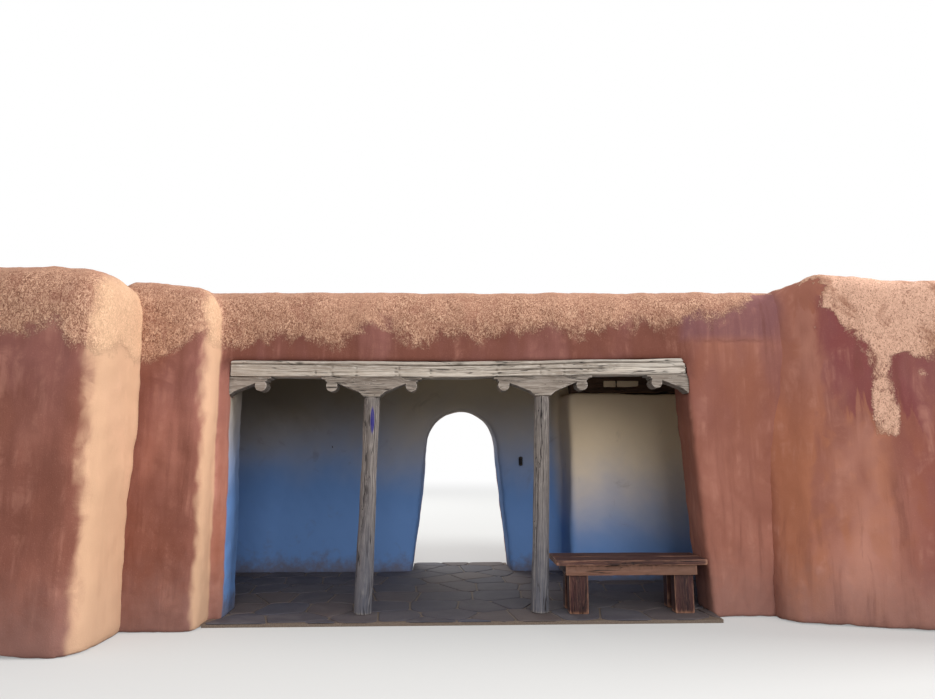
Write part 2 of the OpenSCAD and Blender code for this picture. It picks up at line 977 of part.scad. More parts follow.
module rear_lintels() {
    color("saddlebrown")
        for (o = rear_openings_x) {
            lintel(o[0], door_w, floor_t + door_h, 0);
            lintel(o[1], window_w, floor_t + sill_h + window_h, 0);
        }
}

// Timber spouts that drain the roofs through the rear parapets
module roof_spouts() {
    color("burlywood")
        for (p = spout_places)
            difference() {
                block([p[0] - spout_w / 2, p[1] - (p == spout_places[1] ? arch_wall_t : wall_t),
                       roof_top + seat_gap],
                      [p[0] + spout_w / 2, p[1] + spout_out, roof_top + spout_h]);
                block([p[0] - spout_w / 2 + spout_wall, p[1] - arch_wall_t - cut,
                       roof_top + spout_wall],
                      [p[0] + spout_w / 2 - spout_wall, p[1] + spout_out + cut,
                       roof_top + spout_h + cut]);
            }
}

// Bench under the right bay
module bench_top() {
    color("sienna")
        block([bench_x, bench_front, bench_top_z - bench_t],
              [bench_x + bench_l, bench_front + bench_d, bench_top_z]);
}

module bench_apron() {
    color("sienna")
        difference() {
            block([bench_x + bench_inset, bench_front + apron_t, bench_top_z - bench_t - apron_h],
                  [bench_x + bench_l - bench_inset, bench_front + bench_d - apron_t,
                   bench_top_z - bench_t]);
            block([bench_x + bench_inset + apron_t, bench_front + 2 * apron_t,
                   bench_top_z - bench_t - apron_h - cut],
                  [bench_x + bench_l - bench_inset - apron_t, bench_front + bench_d - 2 * apron_t,
                   bench_top_z - bench_t + cut]);
        }
}

module bench_legs() {
    leg_low = bench_x + bench_inset + apron_t + seat_gap;
    leg_high = bench_x + bench_l - bench_inset - apron_t - seat_gap - bench_leg_w;
    color("sienna")
        for (x = [leg_low, leg_high],
             y = [bench_front + 2 * apron_t + seat_gap,
                  bench_front + bench_d - 2 * apron_t - seat_gap - bench_leg_d])
            block([x, y, floor_t], [x + bench_leg_w, y + bench_leg_d, bench_top_z - bench_t]);
}

// Small lamp on the arch wall
module wall_lamp() {
    color("black")
        union() {
            block([lamp_x - lamp_w / 2, arch_front - lamp_out / 5, lamp_z - lamp_h / 2],
                  [lamp_x + lamp_w / 2, arch_front, lamp_z + lamp_h / 2]);
            translate([lamp_x, arch_front - lamp_out / 2, lamp_z - lamp_h / 3])
                cylinder(h = lamp_h * 2 / 3, d = lamp_w * 0.8);
        }
}

portal_floor();
left_floor();
right_floor();
left_front_wall();
left_end_wall();
left_rear_wall();
left_inner_wall();
right_front_wall();
right_end_wall();
right_rear_wall();
right_inner_wall();
left_pier();
right_pier();
portal_parapet();
arch_wall();
bay_block();
block_header();
block_infill();
portal_beam();
wall_plate();
left_corbel();
right_corbel();
left_bolster();
right_bolster();
left_post();
right_post();
portal_logs();
left_logs();
right_logs();
portal_ceiling();
left_ceiling();
right_ceiling();
portal_roof();
left_roof();
right_roof();
door_leaves();
door_frames();
window_frames();
window_glass();
rear_lintels();
roof_spouts();
bench_top();
bench_apron();
bench_legs();
wall_lamp();
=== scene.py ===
import math
import bpy
import bmesh
import numpy as np
from mathutils import Euler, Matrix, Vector


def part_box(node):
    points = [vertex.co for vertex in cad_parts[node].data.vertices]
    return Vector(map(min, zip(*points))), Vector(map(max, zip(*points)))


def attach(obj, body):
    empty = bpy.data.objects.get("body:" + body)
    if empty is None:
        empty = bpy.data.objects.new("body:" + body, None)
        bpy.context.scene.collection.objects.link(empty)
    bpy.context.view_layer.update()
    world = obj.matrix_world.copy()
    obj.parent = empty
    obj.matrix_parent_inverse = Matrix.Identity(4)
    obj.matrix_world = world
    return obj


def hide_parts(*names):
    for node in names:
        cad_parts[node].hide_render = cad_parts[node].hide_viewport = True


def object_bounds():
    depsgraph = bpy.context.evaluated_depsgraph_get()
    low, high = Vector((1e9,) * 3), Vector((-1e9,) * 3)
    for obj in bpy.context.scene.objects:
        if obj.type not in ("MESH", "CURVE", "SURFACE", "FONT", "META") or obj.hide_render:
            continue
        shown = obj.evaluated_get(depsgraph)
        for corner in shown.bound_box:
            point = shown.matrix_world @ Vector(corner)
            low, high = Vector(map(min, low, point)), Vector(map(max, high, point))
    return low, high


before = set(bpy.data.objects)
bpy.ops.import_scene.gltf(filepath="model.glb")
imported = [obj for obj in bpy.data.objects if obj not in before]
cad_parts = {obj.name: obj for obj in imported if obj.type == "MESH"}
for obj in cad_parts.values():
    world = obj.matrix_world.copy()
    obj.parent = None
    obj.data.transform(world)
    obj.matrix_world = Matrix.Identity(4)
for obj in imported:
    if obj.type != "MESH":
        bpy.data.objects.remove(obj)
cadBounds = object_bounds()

print("frame loaded:", len(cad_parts), "nodes")

# Camera: a phone held at eye height in front of the porch
cameraSettings = {
    "place": (-0.20, -6.94, 1.59),
    "turnRight": 2.2,
    "tiltUp": 8.0,
    "lens": 26.95,
    "sensor": 36.0,
}


def makeCamera(s):
    data = bpy.data.cameras.new("housecam")
    data.sensor_fit = "HORIZONTAL"
    data.sensor_width = s["sensor"]
    data.lens = s["lens"]
    cam = bpy.data.objects.new("housecam", data)
    cam.location = s["place"]
    turn = (math.radians(90 + s["tiltUp"]), 0, -math.radians(s["turnRight"]))
    cam.rotation_euler = Euler(turn, "XYZ")
    bpy.context.collection.objects.link(cam)
    bpy.context.scene.camera = cam


makeCamera(cameraSettings)

# Shader helpers

def color(r, g, b):  # display values from 0 to 255, as the linear values a shader takes
    out = []
    for c in (r / 255, g / 255, b / 255):
        out.append(c / 12.92 if c <= 0.04045 else ((c + 0.055) / 1.055) ** 2.4)
    return (*out, 1.0)


def wire(tree, node, inputs):  # a socket is linked, anything else is set on the node's own socket
    for key, value in inputs.items():
        if isinstance(value, bpy.types.NodeSocket):
            tree.links.new(value, node.inputs[key])
        else:
            node.inputs[key].default_value = value


def put(tree, kind, inputs=None, **settings):
    made = tree.nodes.new("ShaderNode" + kind)
    for key, value in settings.items():
        setattr(made, key, value)
    wire(tree, made, inputs or {})
    return made


def maths(tree, operation, a, b=0.0, c=0.0):
    return put(tree, "Math", {0: a, 1: b, 2: c}, operation=operation).outputs[0]


def times(tree, a, b):
    return maths(tree, "MULTIPLY", a, b)


def swing(tree, noise, amount, base=0.0):  # noise from 0 to 1 pushes the base up or down
    return maths(tree, "MULTIPLY_ADD", maths(tree, "SUBTRACT", noise, 0.5), amount, base)


def fade(tree, value, low, high):  # 0 at low, 1 at high, soft at both ends
    inputs = {"Value": value, "From Min": low, "From Max": high}
    return put(tree, "MapRange", inputs, interpolation_type="SMOOTHSTEP").outputs["Result"]


def paint(tree, mask, under, over):
    return put(tree, "Mix", {0: mask, 6: under, 7: over}, data_type="RGBA").outputs[2]


def coated(tree, base, coats):  # each coat: where it lies, how strongly it covers, its color
    for mask, weight, over in coats:
        base = paint(tree, times(tree, mask, weight), base, over)
    return base


def vectorMaths(tree, operation, a, b=(0.0, 0.0, 0.0)):
    return put(tree, "VectorMath", {0: a, 1: b}, operation=operation).outputs


def stretched(tree, vector, scale):
    return vectorMaths(tree, "MULTIPLY", vector, scale)[0]


def moved(tree, vector, **shift):
    offset = put(tree, "CombineXYZ", shift).outputs[0]
    return vectorMaths(tree, "ADD", vector, offset)[0]


def cloud(tree, vector, scale, detail=3.0, roughness=0.55, distortion=0.0):
    inputs = {"Vector": vector, "Scale": scale, "Detail": detail,
              "Roughness": roughness, "Distortion": distortion}
    return put(tree, "TexNoise", inputs).outputs["Fac"]


def axes(tree, vector):
    return put(tree, "SeparateXYZ", {0: vector}).outputs


def objectPlace(tree):
    return put(tree, "TexCoord").outputs["Object"]


def meshTone(tree):
    return put(tree, "Attribute", attribute_name="tone").outputs["Fac"]


def makeGroup(name, inputs, outputs):
    group = bpy.data.node_groups.new(name, "ShaderNodeTree")
    for label, kind, value in inputs:
        socket = group.interface.new_socket(label, in_out="INPUT", socket_type="NodeSocket" + kind)
        if value is not None:
            socket.default_value = value
    for label in outputs:
        group.interface.new_socket(label, in_out="OUTPUT", socket_type="NodeSocketFloat")
    source = group.nodes.new("NodeGroupInput").outputs
    target = group.nodes.new("NodeGroupOutput").inputs
    return group, source, target


def useGroup(tree, group, **inputs):
    made = tree.nodes.new("ShaderNodeGroup")
    made.node_tree = group
    wire(tree, made, inputs)
    return made.outputs


# Soft studio light; the key stands far off to the right and grazes the front
lightSettings = {
    "skyStrength": 0.74,
    "aim": (0.0, 0.0, 1.2),
    "lamps": [
        {"name": "keylamp", "place": (24.0, -1.5, 12.0), "size": 6.0, "power": 7000.0},
        {"name": "filllamp", "place": (3.0, -15.0, 7.0), "size": 9.0, "power": 1200.0},
        {"name": "backlamp", "place": (-5.0, 14.0, 9.0), "size": 9.0, "power": 900.0},
    ],
}


def seenRays(tree):  # 1 for what the camera sees, also in glass and metal
    rays = put(tree, "LightPath").outputs
    seen = maths(tree, "MAXIMUM", rays["Is Camera Ray"], rays["Is Transmission Ray"])
    return maths(tree, "MAXIMUM", seen, rays["Is Glossy Ray"])


def makeSky(s):  # dim enough to keep the colors true, plain white where it is seen
    world = bpy.data.worlds.new("studio")
    bpy.context.scene.world = world
    world.use_nodes = True
    tree = world.node_tree
    sky = tree.nodes["Background"]
    wire(tree, sky, {"Color": (1, 1, 1, 1), "Strength": s["skyStrength"]})
    backdrop = put(tree, "Background", {"Color": (1, 1, 1, 1), "Strength": 1.0})
    shaders = {0: seenRays(tree), 1: sky.outputs["Background"], 2: backdrop.outputs["Background"]}
    mix = put(tree, "MixShader", shaders)
    tree.links.new(mix.outputs["Shader"], tree.nodes["World Output"].inputs["Surface"])


def makeLamps(s):
    for lamp in s["lamps"]:
        data = bpy.data.lights.new(lamp["name"], "AREA")
        data.size = lamp["size"]
        data.energy = lamp["power"]
        ob = bpy.data.objects.new(lamp["name"], data)
        ob.location = lamp["place"]
        aim = Vector(s["aim"]) - ob.location
        ob.rotation_euler = aim.to_track_quat("-Z", "Y").to_euler()
        bpy.context.collection.objects.link(ob)


makeSky(lightSettings)
makeLamps(lightSettings)


def newMaterial(name):
    material = bpy.data.materials.new(name)
    material.use_nodes = True
    tree = material.node_tree
    return material, tree, tree.nodes["Principled BSDF"]


# Pale studio floor, just under the feet of the walls. It looks paler than the light it throws back,
# and runs out into the white backdrop
stageSettings = {
    "size": 160.0, "below": 0.002, "roughness": 0.9,
    "seen": (0.42, 0.42, 0.41, 1), "thrown": (0.30, 0.30, 0.29, 1), "glow": (0.30, 0.30, 0.30, 1),
    "fadeFrom": 9.0, "fadeTo": 30.0,
}


def makeStage(s):
    mesh = bpy.data.meshes.new("studiofloor")
    h = s["size"] / 2
    mesh.from_pydata([(-h, -h, 0), (h, -h, 0), (h, h, 0), (-h, h, 0)], [], [(0, 1, 2, 3)])
    floor = bpy.data.objects.new("studiofloor", mesh)
    floor.location.z = -s["below"]
    bpy.context.collection.objects.link(floor)
    material, tree, shader = newMaterial("palefloor")
    seen = seenRays(tree)
    away = vectorMaths(tree, "LENGTH", objectPlace(tree))["Value"]
    far = fade(tree, away, s["fadeFrom"], s["fadeTo"])
    black, white = (0, 0, 0, 1), (1, 1, 1, 1)
    shown = paint(tree, far, s["seen"], black)
    glowing = paint(tree, far, s["glow"], white)
    wire(tree, shader, {
        "Roughness": s["roughness"], "Specular IOR Level": 0.0, "Emission Strength": 1.0,
        "Base Color": paint(tree, seen, s["thrown"], shown),
        "Emission Color": paint(tree, seen, black, glowing),
    })
    mesh.materials.append(material)


makeStage(stageSettings)
print("stage set")

# Effects that several finishes share

def makeBoxMask():  # 1 inside an upright box, 0 outside, soft over its border
    sockets = [(label, "Vector", None) for label in ("Place", "Low", "High")]
    group, given, out = makeGroup("boxMask", sockets + [("Soft", "Float", 0.02)], ["Mask"])
    above = vectorMaths(group, "SUBTRACT", given["Place"], given["Low"])[0]
    below = vectorMaths(group, "SUBTRACT", given["High"], given["Place"])[0]
    x, y, z = axes(group, vectorMaths(group, "MINIMUM", above, below)[0])
    depth = maths(group, "MINIMUM", maths(group, "MINIMUM", x, y), z)
    group.links.new(fade(group, depth, times(group, given["Soft"], -1.0), given["Soft"]), out["Mask"])
    return group


def makeMudPlaster():  # mottling, hand-sized patches, chopped straw and grit of an earth render
    outputs = ["Mottle", "Patch", "Straw", "Grit", "Streak"]
    group, given, out = makeGroup("mudPlaster", [("Place", "Vector", None)], outputs)
    place = given["Place"]
    fine = stretched(group, place, (40, 40, 28))
    upright = stretched(group, place, (9.0, 9.0, 0.8))
    group.links.new(cloud(group, place, 0.75, 4.0, 0.6, 0.4), out["Mottle"])
    group.links.new(cloud(group, place, 3.4, 4.0, 0.62, 0.8), out["Patch"])
    group.links.new(cloud(group, fine, 1.0, 3.0, 0.72, 2.2), out["Straw"])
    group.links.new(cloud(group, place, 120.0, 3.0, 0.7), out["Grit"])
    group.links.new(cloud(group, upright, 1.0, 4.0, 0.62, 0.5), out["Streak"])
    return group


def makeWoodGrain():  # fibres, broad bands, drying cracks and knots along the first axis
    sockets = [("Grain", "Vector", None), ("Knots", "Float", 1.0)]
    group, given, out = makeGroup("woodGrain", sockets, ["Fibre", "Band", "Crack", "Knot"])
    grain = given["Grain"]
    knotPlace = stretched(group, grain, (2.4, 7.0, 7.0))
    spot = put(group, "TexVoronoi", {"Vector": knotPlace, "Scale": 1.0}).outputs["Distance"]
    knot = times(group, fade(group, spot, 0.16, 0.05), given["Knots"])
    bend = times(group, fade(group, spot, 0.55, 0.0), 0.02)
    bent = vectorMaths(group, "ADD", grain, bend)[0]
    group.links.new(cloud(group, stretched(group, bent, (5.0, 150, 150)), 1.0, 4.0, 0.7), out["Fibre"])
    group.links.new(cloud(group, stretched(group, bent, (1.1, 22, 22)), 1.0, 3.0, 0.6, 0.3), out["Band"])
    line = cloud(group, stretched(group, bent, (1.5, 34, 34)), 1.0, 2.0, 0.5, 0.2)
    near = maths(group, "ABSOLUTE", maths(group, "SUBTRACT", line, 0.5))
    thin = fade(group, near, 0.026, 0.006)
    gate = fade(group, cloud(group, stretched(group, grain, (1.7, 9, 9)), 1.0, 1.0), 0.47, 0.56)
    group.links.new(times(group, thin, gate), out["Crack"])
    group.links.new(knot, out["Knot"])
    return group


def makeEdgeWear():  # rubbed arrises and darker hollows, from how sharply the mesh bends
    sockets = [("Place", "Vector", None), ("Reach", "Float", 0.06)]
    group, given, out = makeGroup("edgeWear", sockets, ["Edge", "Hollow"])
    bend = put(group, "NewGeometry").outputs["Pointiness"]
    rough = swing(group, cloud(group, given["Place"], 14.0), 0.05, bend)
    sharp = maths(group, "ADD", given["Reach"], 0.505)
    deep = maths(group, "SUBTRACT", 0.495, given["Reach"])
    group.links.new(fade(group, rough, 0.505, sharp), out["Edge"])
    group.links.new(fade(group, rough, 0.495, deep), out["Hollow"])
    return group


def makeDustFall():  # dust on what faces up, and splashed earth near the ground
    sockets = [("Place", "Vector", None), ("Splash", "Float", 0.35)]
    group, given, out = makeGroup("dustFall", sockets, ["Dust", "Splashed"])
    up = axes(group, put(group, "NewGeometry").outputs["Normal"])[2]
    grime = cloud(group, given["Place"], 9.0, 4.0, 0.65)
    group.links.new(fade(group, swing(group, grime, 1.0, up), 0.35, 0.95), out["Dust"])
    height = axes(group, given["Place"])[2]
    group.links.new(fade(group, swing(group, grime, 0.5, height), given["Splash"], 0.0), out["Splashed"])
    return group


boxMask = makeBoxMask()
mudPlaster = makeMudPlaster()
woodGrain = makeWoodGrain()
edgeWear = makeEdgeWear()
dustFall = makeDustFall()


def inBox(tree, place, low, high, soft):
    return useGroup(tree, boxMask, Place=place, Low=low, High=high, Soft=soft)["Mask"]


def connect(tree, shader, base, roughness, height, strength, distance):
    bump = put(tree, "Bump", {"Height": height, "Strength": strength, "Distance": distance})
    sockets = {"Base Color": base, "Roughness": roughness, "Normal": bump.outputs["Normal"]}
    wire(tree, shader, sockets)


def pointsOf(mesh):
    co = np.zeros(len(mesh.vertices) * 3, np.float32)
    mesh.vertices.foreach_get("co", co)
    return co.reshape(-1, 3).astype(float)


def outlineOf(node, level):  # the outline of a CAD slab's flat face at one height
    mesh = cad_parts[node].data
    points = pointsOf(mesh)
    keys = [tuple(np.round(p[:2], 4)) for p in points]
    onTop = np.abs(points[:, 2] - level) < 1e-4
    count = {}
    for polygon in mesh.polygons:
        ids = list(polygon.vertices)
        if all(onTop[i] for i in ids):
            for a, b in zip(ids, ids[1:] + ids[:1]):
                count[(keys[a], keys[b])] = count.get((keys[a], keys[b]), 0) + 1
    following = {a: b for (a, b) in count if (b, a) not in count}
    start = min(following)
    loop = [start]
    while following[loop[-1]] != start:
        loop.append(following[loop[-1]])
    return [np.array(p) for p in loop]


roomLap = {"side": 0.12, "rear": 0.24, "foot": -1.0}  # how far a room's limewash reaches into its walls


def roomBox(low, high, front):
    lowEnd = (low[0] - roomLap["side"], low[1] - front, roomLap["foot"])
    return lowEnd, (high[0] + roomLap["side"], high[1] + roomLap["rear"], low[2])


# Earth plaster: red-brown render, straw-rich crests, limewashed rooms and porch, with painted sunlight on the
# crests and on faces turned right, painted shade under them, and painted blue shade low on the limewash. A
# box is given by its low corner, its high corner and how soft its border is
archLow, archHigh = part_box("arch_wall")
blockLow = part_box("bay_block")[0]
pierLow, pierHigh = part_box("right_pier")
leftLow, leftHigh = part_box("left_ceiling")
rightLow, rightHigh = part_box("right_ceiling")
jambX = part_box("left_pier")[1][0]
frontLeft, frontRight = sorted(outlineOf("right_ceiling", rightHigh[2]), key=lambda p: p[1])[1::-1]
plasterSettings = {
    "deep": color(144, 90, 75),
    "plain": color(166, 110, 94),
    "warm": color(170, 108, 80),
    # the next two are the mauve and red-brown of painted shade
    "duskyShade": color(126, 85, 90),
    "shaded": color(128, 68, 68),
    "rubbed": color(194, 138, 120),
    # a darker brown for rain streaks and the seam, and for painted shade in the tints
    "streak": color(112, 66, 55),
    "splash": color(146, 110, 102),
    # crest colours: straw-rich plaster as painted sunlight shows it, lightest on tops and on the right wing's
    # upper front
    "crest": color(172, 126, 102),
    "crestPale": color(218, 176, 148),
    "crestGrit": color(108, 68, 54),
    "crestCap": color(198, 150, 124),
    "crestBleached": color(240, 194, 168),
    "washHigh": color(206, 188, 158),
    # painted light on the limewash: blue shade low down, paler on the block; the stain colour also paints
    # shade
    "washBlueShade": color(102, 138, 192),
    "washBlockLight": color(240, 218, 186),
    "washStainAndShade": color(104, 88, 76),
    # painted sunlight on faces turned right
    "paintedSunSide": color(236, 196, 158),
    "tints": [  # painted shade: under the parapet's crest, on the left fronts, and above the seam on the right pier, where the right wing's shadow falls
        {"box": ((-2.34, -1.0, 2.30), (2.30, 0.3, 2.95), 0.08), "over": "streak", "weight": 0.85},
        {"box": ((-8.0, -2.0, -1.0), (-2.2, -0.3, 3.60), 0.10), "over": "streak", "weight": 0.65},
        {"box": ((2.20, -1.0, 2.67), (3.25, 0.3, 3.40), 0.07), "over": "duskyShade", "weight": 0.75},
    ],
    "streakedTints": [  # painted shade under the right wing's crest, darker over its lower right part, lighter at its corner and low near it
        {"box": ((3.45, -1.0, 1.85), (4.60, 0.2, 3.00), 0.05), "over": "shaded", "weight": 0.90},
        {"box": ((3.30, -1.0, 1.60), (3.44, 0.2, 2.80), 0.04), "over": "rubbed", "weight": 0.60},
        {"box": ((4.05, -1.0, 0.45), (7.50, 0.2, 2.20), 0.28), "over": "shaded", "weight": 0.65},
        {"box": ((3.40, -1.0, 0.20), (3.80, 0.2, 1.66), 0.24), "over": "rubbed", "weight": 0.75},
    ],
    "leftFaceFrom": (2.9, 3.1),  # along the front, where the left face of the right wing turns warmer
    "upperShadeFrom": (1.4, 2.4),
    "splashHeight": 0.75,
    # the fringe is the lower edge of the painted sunlight on the crests
    "fringeLevel": 2.42,
    "fringeSteps": [  # the fringe climbs or falls by the third number between two places along the front; its climb from 1.95 to 2.95 paints the right wing's shadow on the parapet
        (-3.0, -2.0, 0.26), (1.0, 1.25, 0.10), (1.95, 2.95, 0.38), (2.95, 3.05, 0.25),
        (3.40, 3.50, -0.49), (3.50, 3.63, -0.26), (3.63, 4.30, -0.38), (4.6, 5.4, 0.20),
    ],
    "innerLevel": 2.55,  # fringe of the faces that look inwards or lie behind the porch
    "innerFrom": (2.6, 2.9),
    "behindFrom": (0.2, 0.8),
    "patch": ((3.79, -1.0, 1.66), (4.07, 0.0, 2.60), 0.09),  # an island of painted sunlight and straw below the fringe
    # where the painted sunlight is palest, on the right wing's upper front
    "wingSunlit": ((3.30, -1.0, 1.50), (6.50, 0.4, 3.60), 0.10),
    # where the painted sunlight on faces turned right lies
    "sunlitFaces": {"right": (-1.9, -2.2), "left": (-4.1, -3.7), "front": (-0.15, -0.19)},
    "seam": ((2.34, -1.0, 2.636), (3.10, 0.2, 2.660), 0.016),
    "limewashed": [  # porch, left jamb, left room, right room
        ((archLow[0], 0.06, -1.0), (archHigh[0], archHigh[1] - 0.18, leftLow[2])),
        ((jambX - 0.14, -0.085, -1.0), (jambX + 0.05, 0.2, 2.08)),
        roomBox(leftLow, leftHigh, 0.12),
        roomBox(rightLow, rightHigh, 0.25),
    ],
    "unwashed": ((pierLow[0] - 0.10, -0.6, -1.0), (pierLow[0] + 0.9, pierHigh[1] + 0.10, 2.9)),
    "washEdge": 0.012,
    "blockFrom": (blockLow[0] - 0.15, blockLow[0] + 0.10),
    "blockRise": 0.75,  # how much lower the painted blue shade of the wash ends on the block
    "footHeight": 0.30,
    "roughness": 0.94,
    "bump": 0.75,
    "bumpDepth": 0.014,
}


def readSurface(tree):  # the places, facings and noises that every coat of plaster is laid by
    place = objectPlace(tree)
    x, y, z = axes(tree, place)
    facing = axes(tree, put(tree, "NewGeometry").outputs["Normal"])
    mud = useGroup(tree, mudPlaster, Place=place)
    at = {"place": place, "x": x, "y": y, "z": z, "side": facing[0], "up": facing[2]}
    at["wide"] = cloud(tree, stretched(tree, place, (1.6, 1.6, 0.7)), 1.0, 3.0, 0.5)
    at.update({name.lower(): mud[name] for name in ("Mottle", "Patch", "Straw", "Grit", "Streak")})
    return at


def tintCoats(tree, at, place, tints, s):
    broken = fade(tree, at["wide"], 0.30, 0.50)
    coats = []
    for tint in tints:
        stained = times(tree, inBox(tree, place, *tint["box"]), broken)
        coats.append((stained, tint["weight"], s[tint["over"]]))
    return coats


def mudColor(tree, at, s):  # bare render: mottled, stained, brushed by rain, splashed at the foot, warmer on faces turned left, with painted shade in boxes and on the upper walls
    # warmer on faces turned left, on the right wing
    leftFaceWarm = times(tree, fade(tree, at["side"], -0.25, -0.45), fade(tree, at["x"], *s["leftFaceFrom"]))
    patchy = times(tree, fade(tree, at["wide"], 0.48, 0.66), 0.35)
    fall = swing(tree, at["wide"], 1.0, swing(tree, at["streak"], 1.1))
    streakedPlace = moved(tree, at["place"], X=swing(tree, at["patch"], 0.16), Z=fall)
    # patchy painted shade on the upper walls
    upperShade = times(tree, fade(tree, at["wide"], 0.54, 0.38), fade(tree, at["z"], *s["upperShadeFrom"]))
    brushed = times(tree, fade(tree, at["streak"], 0.46, 0.72), fade(tree, at["patch"], 0.40, 0.70))
    washed = times(tree, fade(tree, at["streak"], 0.50, 0.30), fade(tree, at["mottle"], 0.35, 0.60))
    splashed = useGroup(tree, dustFall, Place=at["place"], Splash=s["splashHeight"])["Splashed"]
    base = paint(tree, fade(tree, at["mottle"], 0.36, 0.64), s["deep"], s["plain"])
    return coated(tree, base, [
        (maths(tree, "MAXIMUM", patchy, leftFaceWarm), 0.8, s["warm"]),
        *tintCoats(tree, at, at["place"], s["tints"], s),
        *tintCoats(tree, at, streakedPlace, s["streakedTints"], s),
        (upperShade, 0.30, s["duskyShade"]),
        (brushed, 0.50, s["rubbed"]),
        (washed, 0.45, s["streak"]),
        (splashed, 0.6, s["splash"]),
        (fade(tree, at["grit"], 0.58, 0.70), 0.25, s["rubbed"]),
    ])


def crestMask(tree, at, s):  # painted sunlight on the straw-rich crest where it faces up, with an irregular fringe that climbs towards the right wing as the edge of its painted shadow
    level = s["fringeLevel"]
    ragged = swing(tree, at["patch"], 0.7, at["x"])
    for low, top, change in s["fringeSteps"]:
        span = put(tree, "MapRange", {"Value": ragged, "From Min": low, "From Max": top}).outputs["Result"]
        level = maths(tree, "MULTIPLY_ADD", span, change, level)
    inward = times(tree, fade(tree, at["side"], 0.35, 0.70), fade(tree, at["x"], *s["innerFrom"]))
    inward = maths(tree, "MAXIMUM", inward, fade(tree, at["y"], *s["behindFrom"]))
    level = put(tree, "Mix", {0: inward, 2: level, 3: s["innerLevel"]}).outputs[0]
    over = times(tree, maths(tree, "SUBTRACT", at["z"], level), 5.0)
    spot = inBox(tree, at["place"], *s["patch"])
    over = maths(tree, "MAXIMUM", over, maths(tree, "MULTIPLY_ADD", spot, 3.0, -2.55))
    for noise, amount in (("wide", 6.0), ("patch", 3.0), ("straw", 1.6)):
        over = swing(tree, at[noise], amount, over)
    over = maths(tree, "MULTIPLY_ADD", at["up"], 0.5, over)
    over = maths(tree, "MULTIPLY_ADD", fade(tree, at["up"], 0.74, 0.96), 2.4, over)
    return fade(tree, over, -0.15, 0.55)


# straw-rich plaster in painted sunlight: lighter where it faces up, palest over the right wing's upper front
def sunlitStrawColor(tree, at, s):
    pale = inBox(tree, at["place"], *s["wingSunlit"])
    wingSunlit = fade(tree, maths(tree, "ADD", at["patch"], at["wide"]), 0.86, 1.04)
    wingSunlit = times(tree, times(tree, pale, wingSunlit), fade(tree, at["straw"], 0.30, 0.58))
    base = paint(tree, fade(tree, at["straw"], 0.47, 0.64), s["crest"], s["crestPale"])
    return coated(tree, base, [
        (fade(tree, at["straw"], 0.49, 0.38), 0.85, s["crestGrit"]),
        (fade(tree, at["patch"], 0.52, 0.34), 0.40, s["deep"]),
        (fade(tree, at["mottle"], 0.50, 0.66), 0.35, s["crestCap"]),
        (fade(tree, at["up"], 0.50, 0.95), 0.55, s["crestCap"]),
        (pale, 0.30, s["crestCap"]),
        (wingSunlit, 0.90, s["crestBleached"]),
    ])


def paintedSunMask(tree, at, s):  # painted sunlight on the left wing's and left pier's faces that turn to the right, right down
    mask = fade(tree, swing(tree, at["patch"], 0.5, at["side"]), 0.35, 0.85)
    for axis, span in (("x", "right"), ("x", "left"), ("y", "front")):
        mask = times(tree, mask, fade(tree, at[axis], *s["sunlitFaces"][span]))
    return mask


def seamMask(tree, at, s):
    wavy = moved(tree, at["place"], Z=swing(tree, at["patch"], 0.10))
    return times(tree, inBox(tree, wavy, *s["seam"]), fade(tree, at["streak"], 0.36, 0.54))


def washMask(tree, at, s):  # limewash lies in the porch and the rooms, and stops at the skewed front
    across = Vector(((frontLeft - frontRight)[1], (frontRight - frontLeft)[0], 0.0)).normalized()
    start = across.x * frontLeft[0] + across.y * frontLeft[1]
    behind = vectorMaths(tree, "DOT_PRODUCT", at["place"], across)["Value"]
    behind = fade(tree, behind, start - 0.20, start - 0.16)
    wash = 0.0
    for low, high in s["limewashed"]:
        inside = inBox(tree, at["place"], low, high, s["washEdge"])
        if low[0] > archHigh[0]:
            inside = times(tree, inside, behind)
        wash = maths(tree, "MAXIMUM", inside, wash)
    unwashed = inBox(tree, at["place"], *s["unwashed"], s["washEdge"])
    return times(tree, wash, maths(tree, "SUBTRACT", 1.0, unwashed))


def washColor(tree, at, s):  # painted blue shade below, cream above, painted shade at the upper left, dirty at the foot
    block = fade(tree, at["x"], *s["blockFrom"])
    rise = maths(tree, "MULTIPLY_ADD", block, s["blockRise"], at["z"])
    rise = maths(tree, "MULTIPLY_ADD", at["mottle"], 0.9, rise)
    # paler on the block: painted light
    high = paint(tree, block, s["washHigh"], s["washBlockLight"])
    limed = paint(tree, fade(tree, rise, 1.4, 3.0), s["washBlueShade"], high)
    leftShade = times(tree, fade(tree, at["x"], 0.0, -1.6), fade(tree, rise, 1.8, 2.9))
    foot = useGroup(tree, dustFall, Place=at["place"], Splash=s["footHeight"])["Splashed"]
    return coated(tree, limed, [
        (leftShade, 0.6, s["washStainAndShade"]),
        (fade(tree, at["patch"], 0.60, 0.78), 0.28, s["washStainAndShade"]),
        (foot, 0.7, s["washStainAndShade"]),
    ])


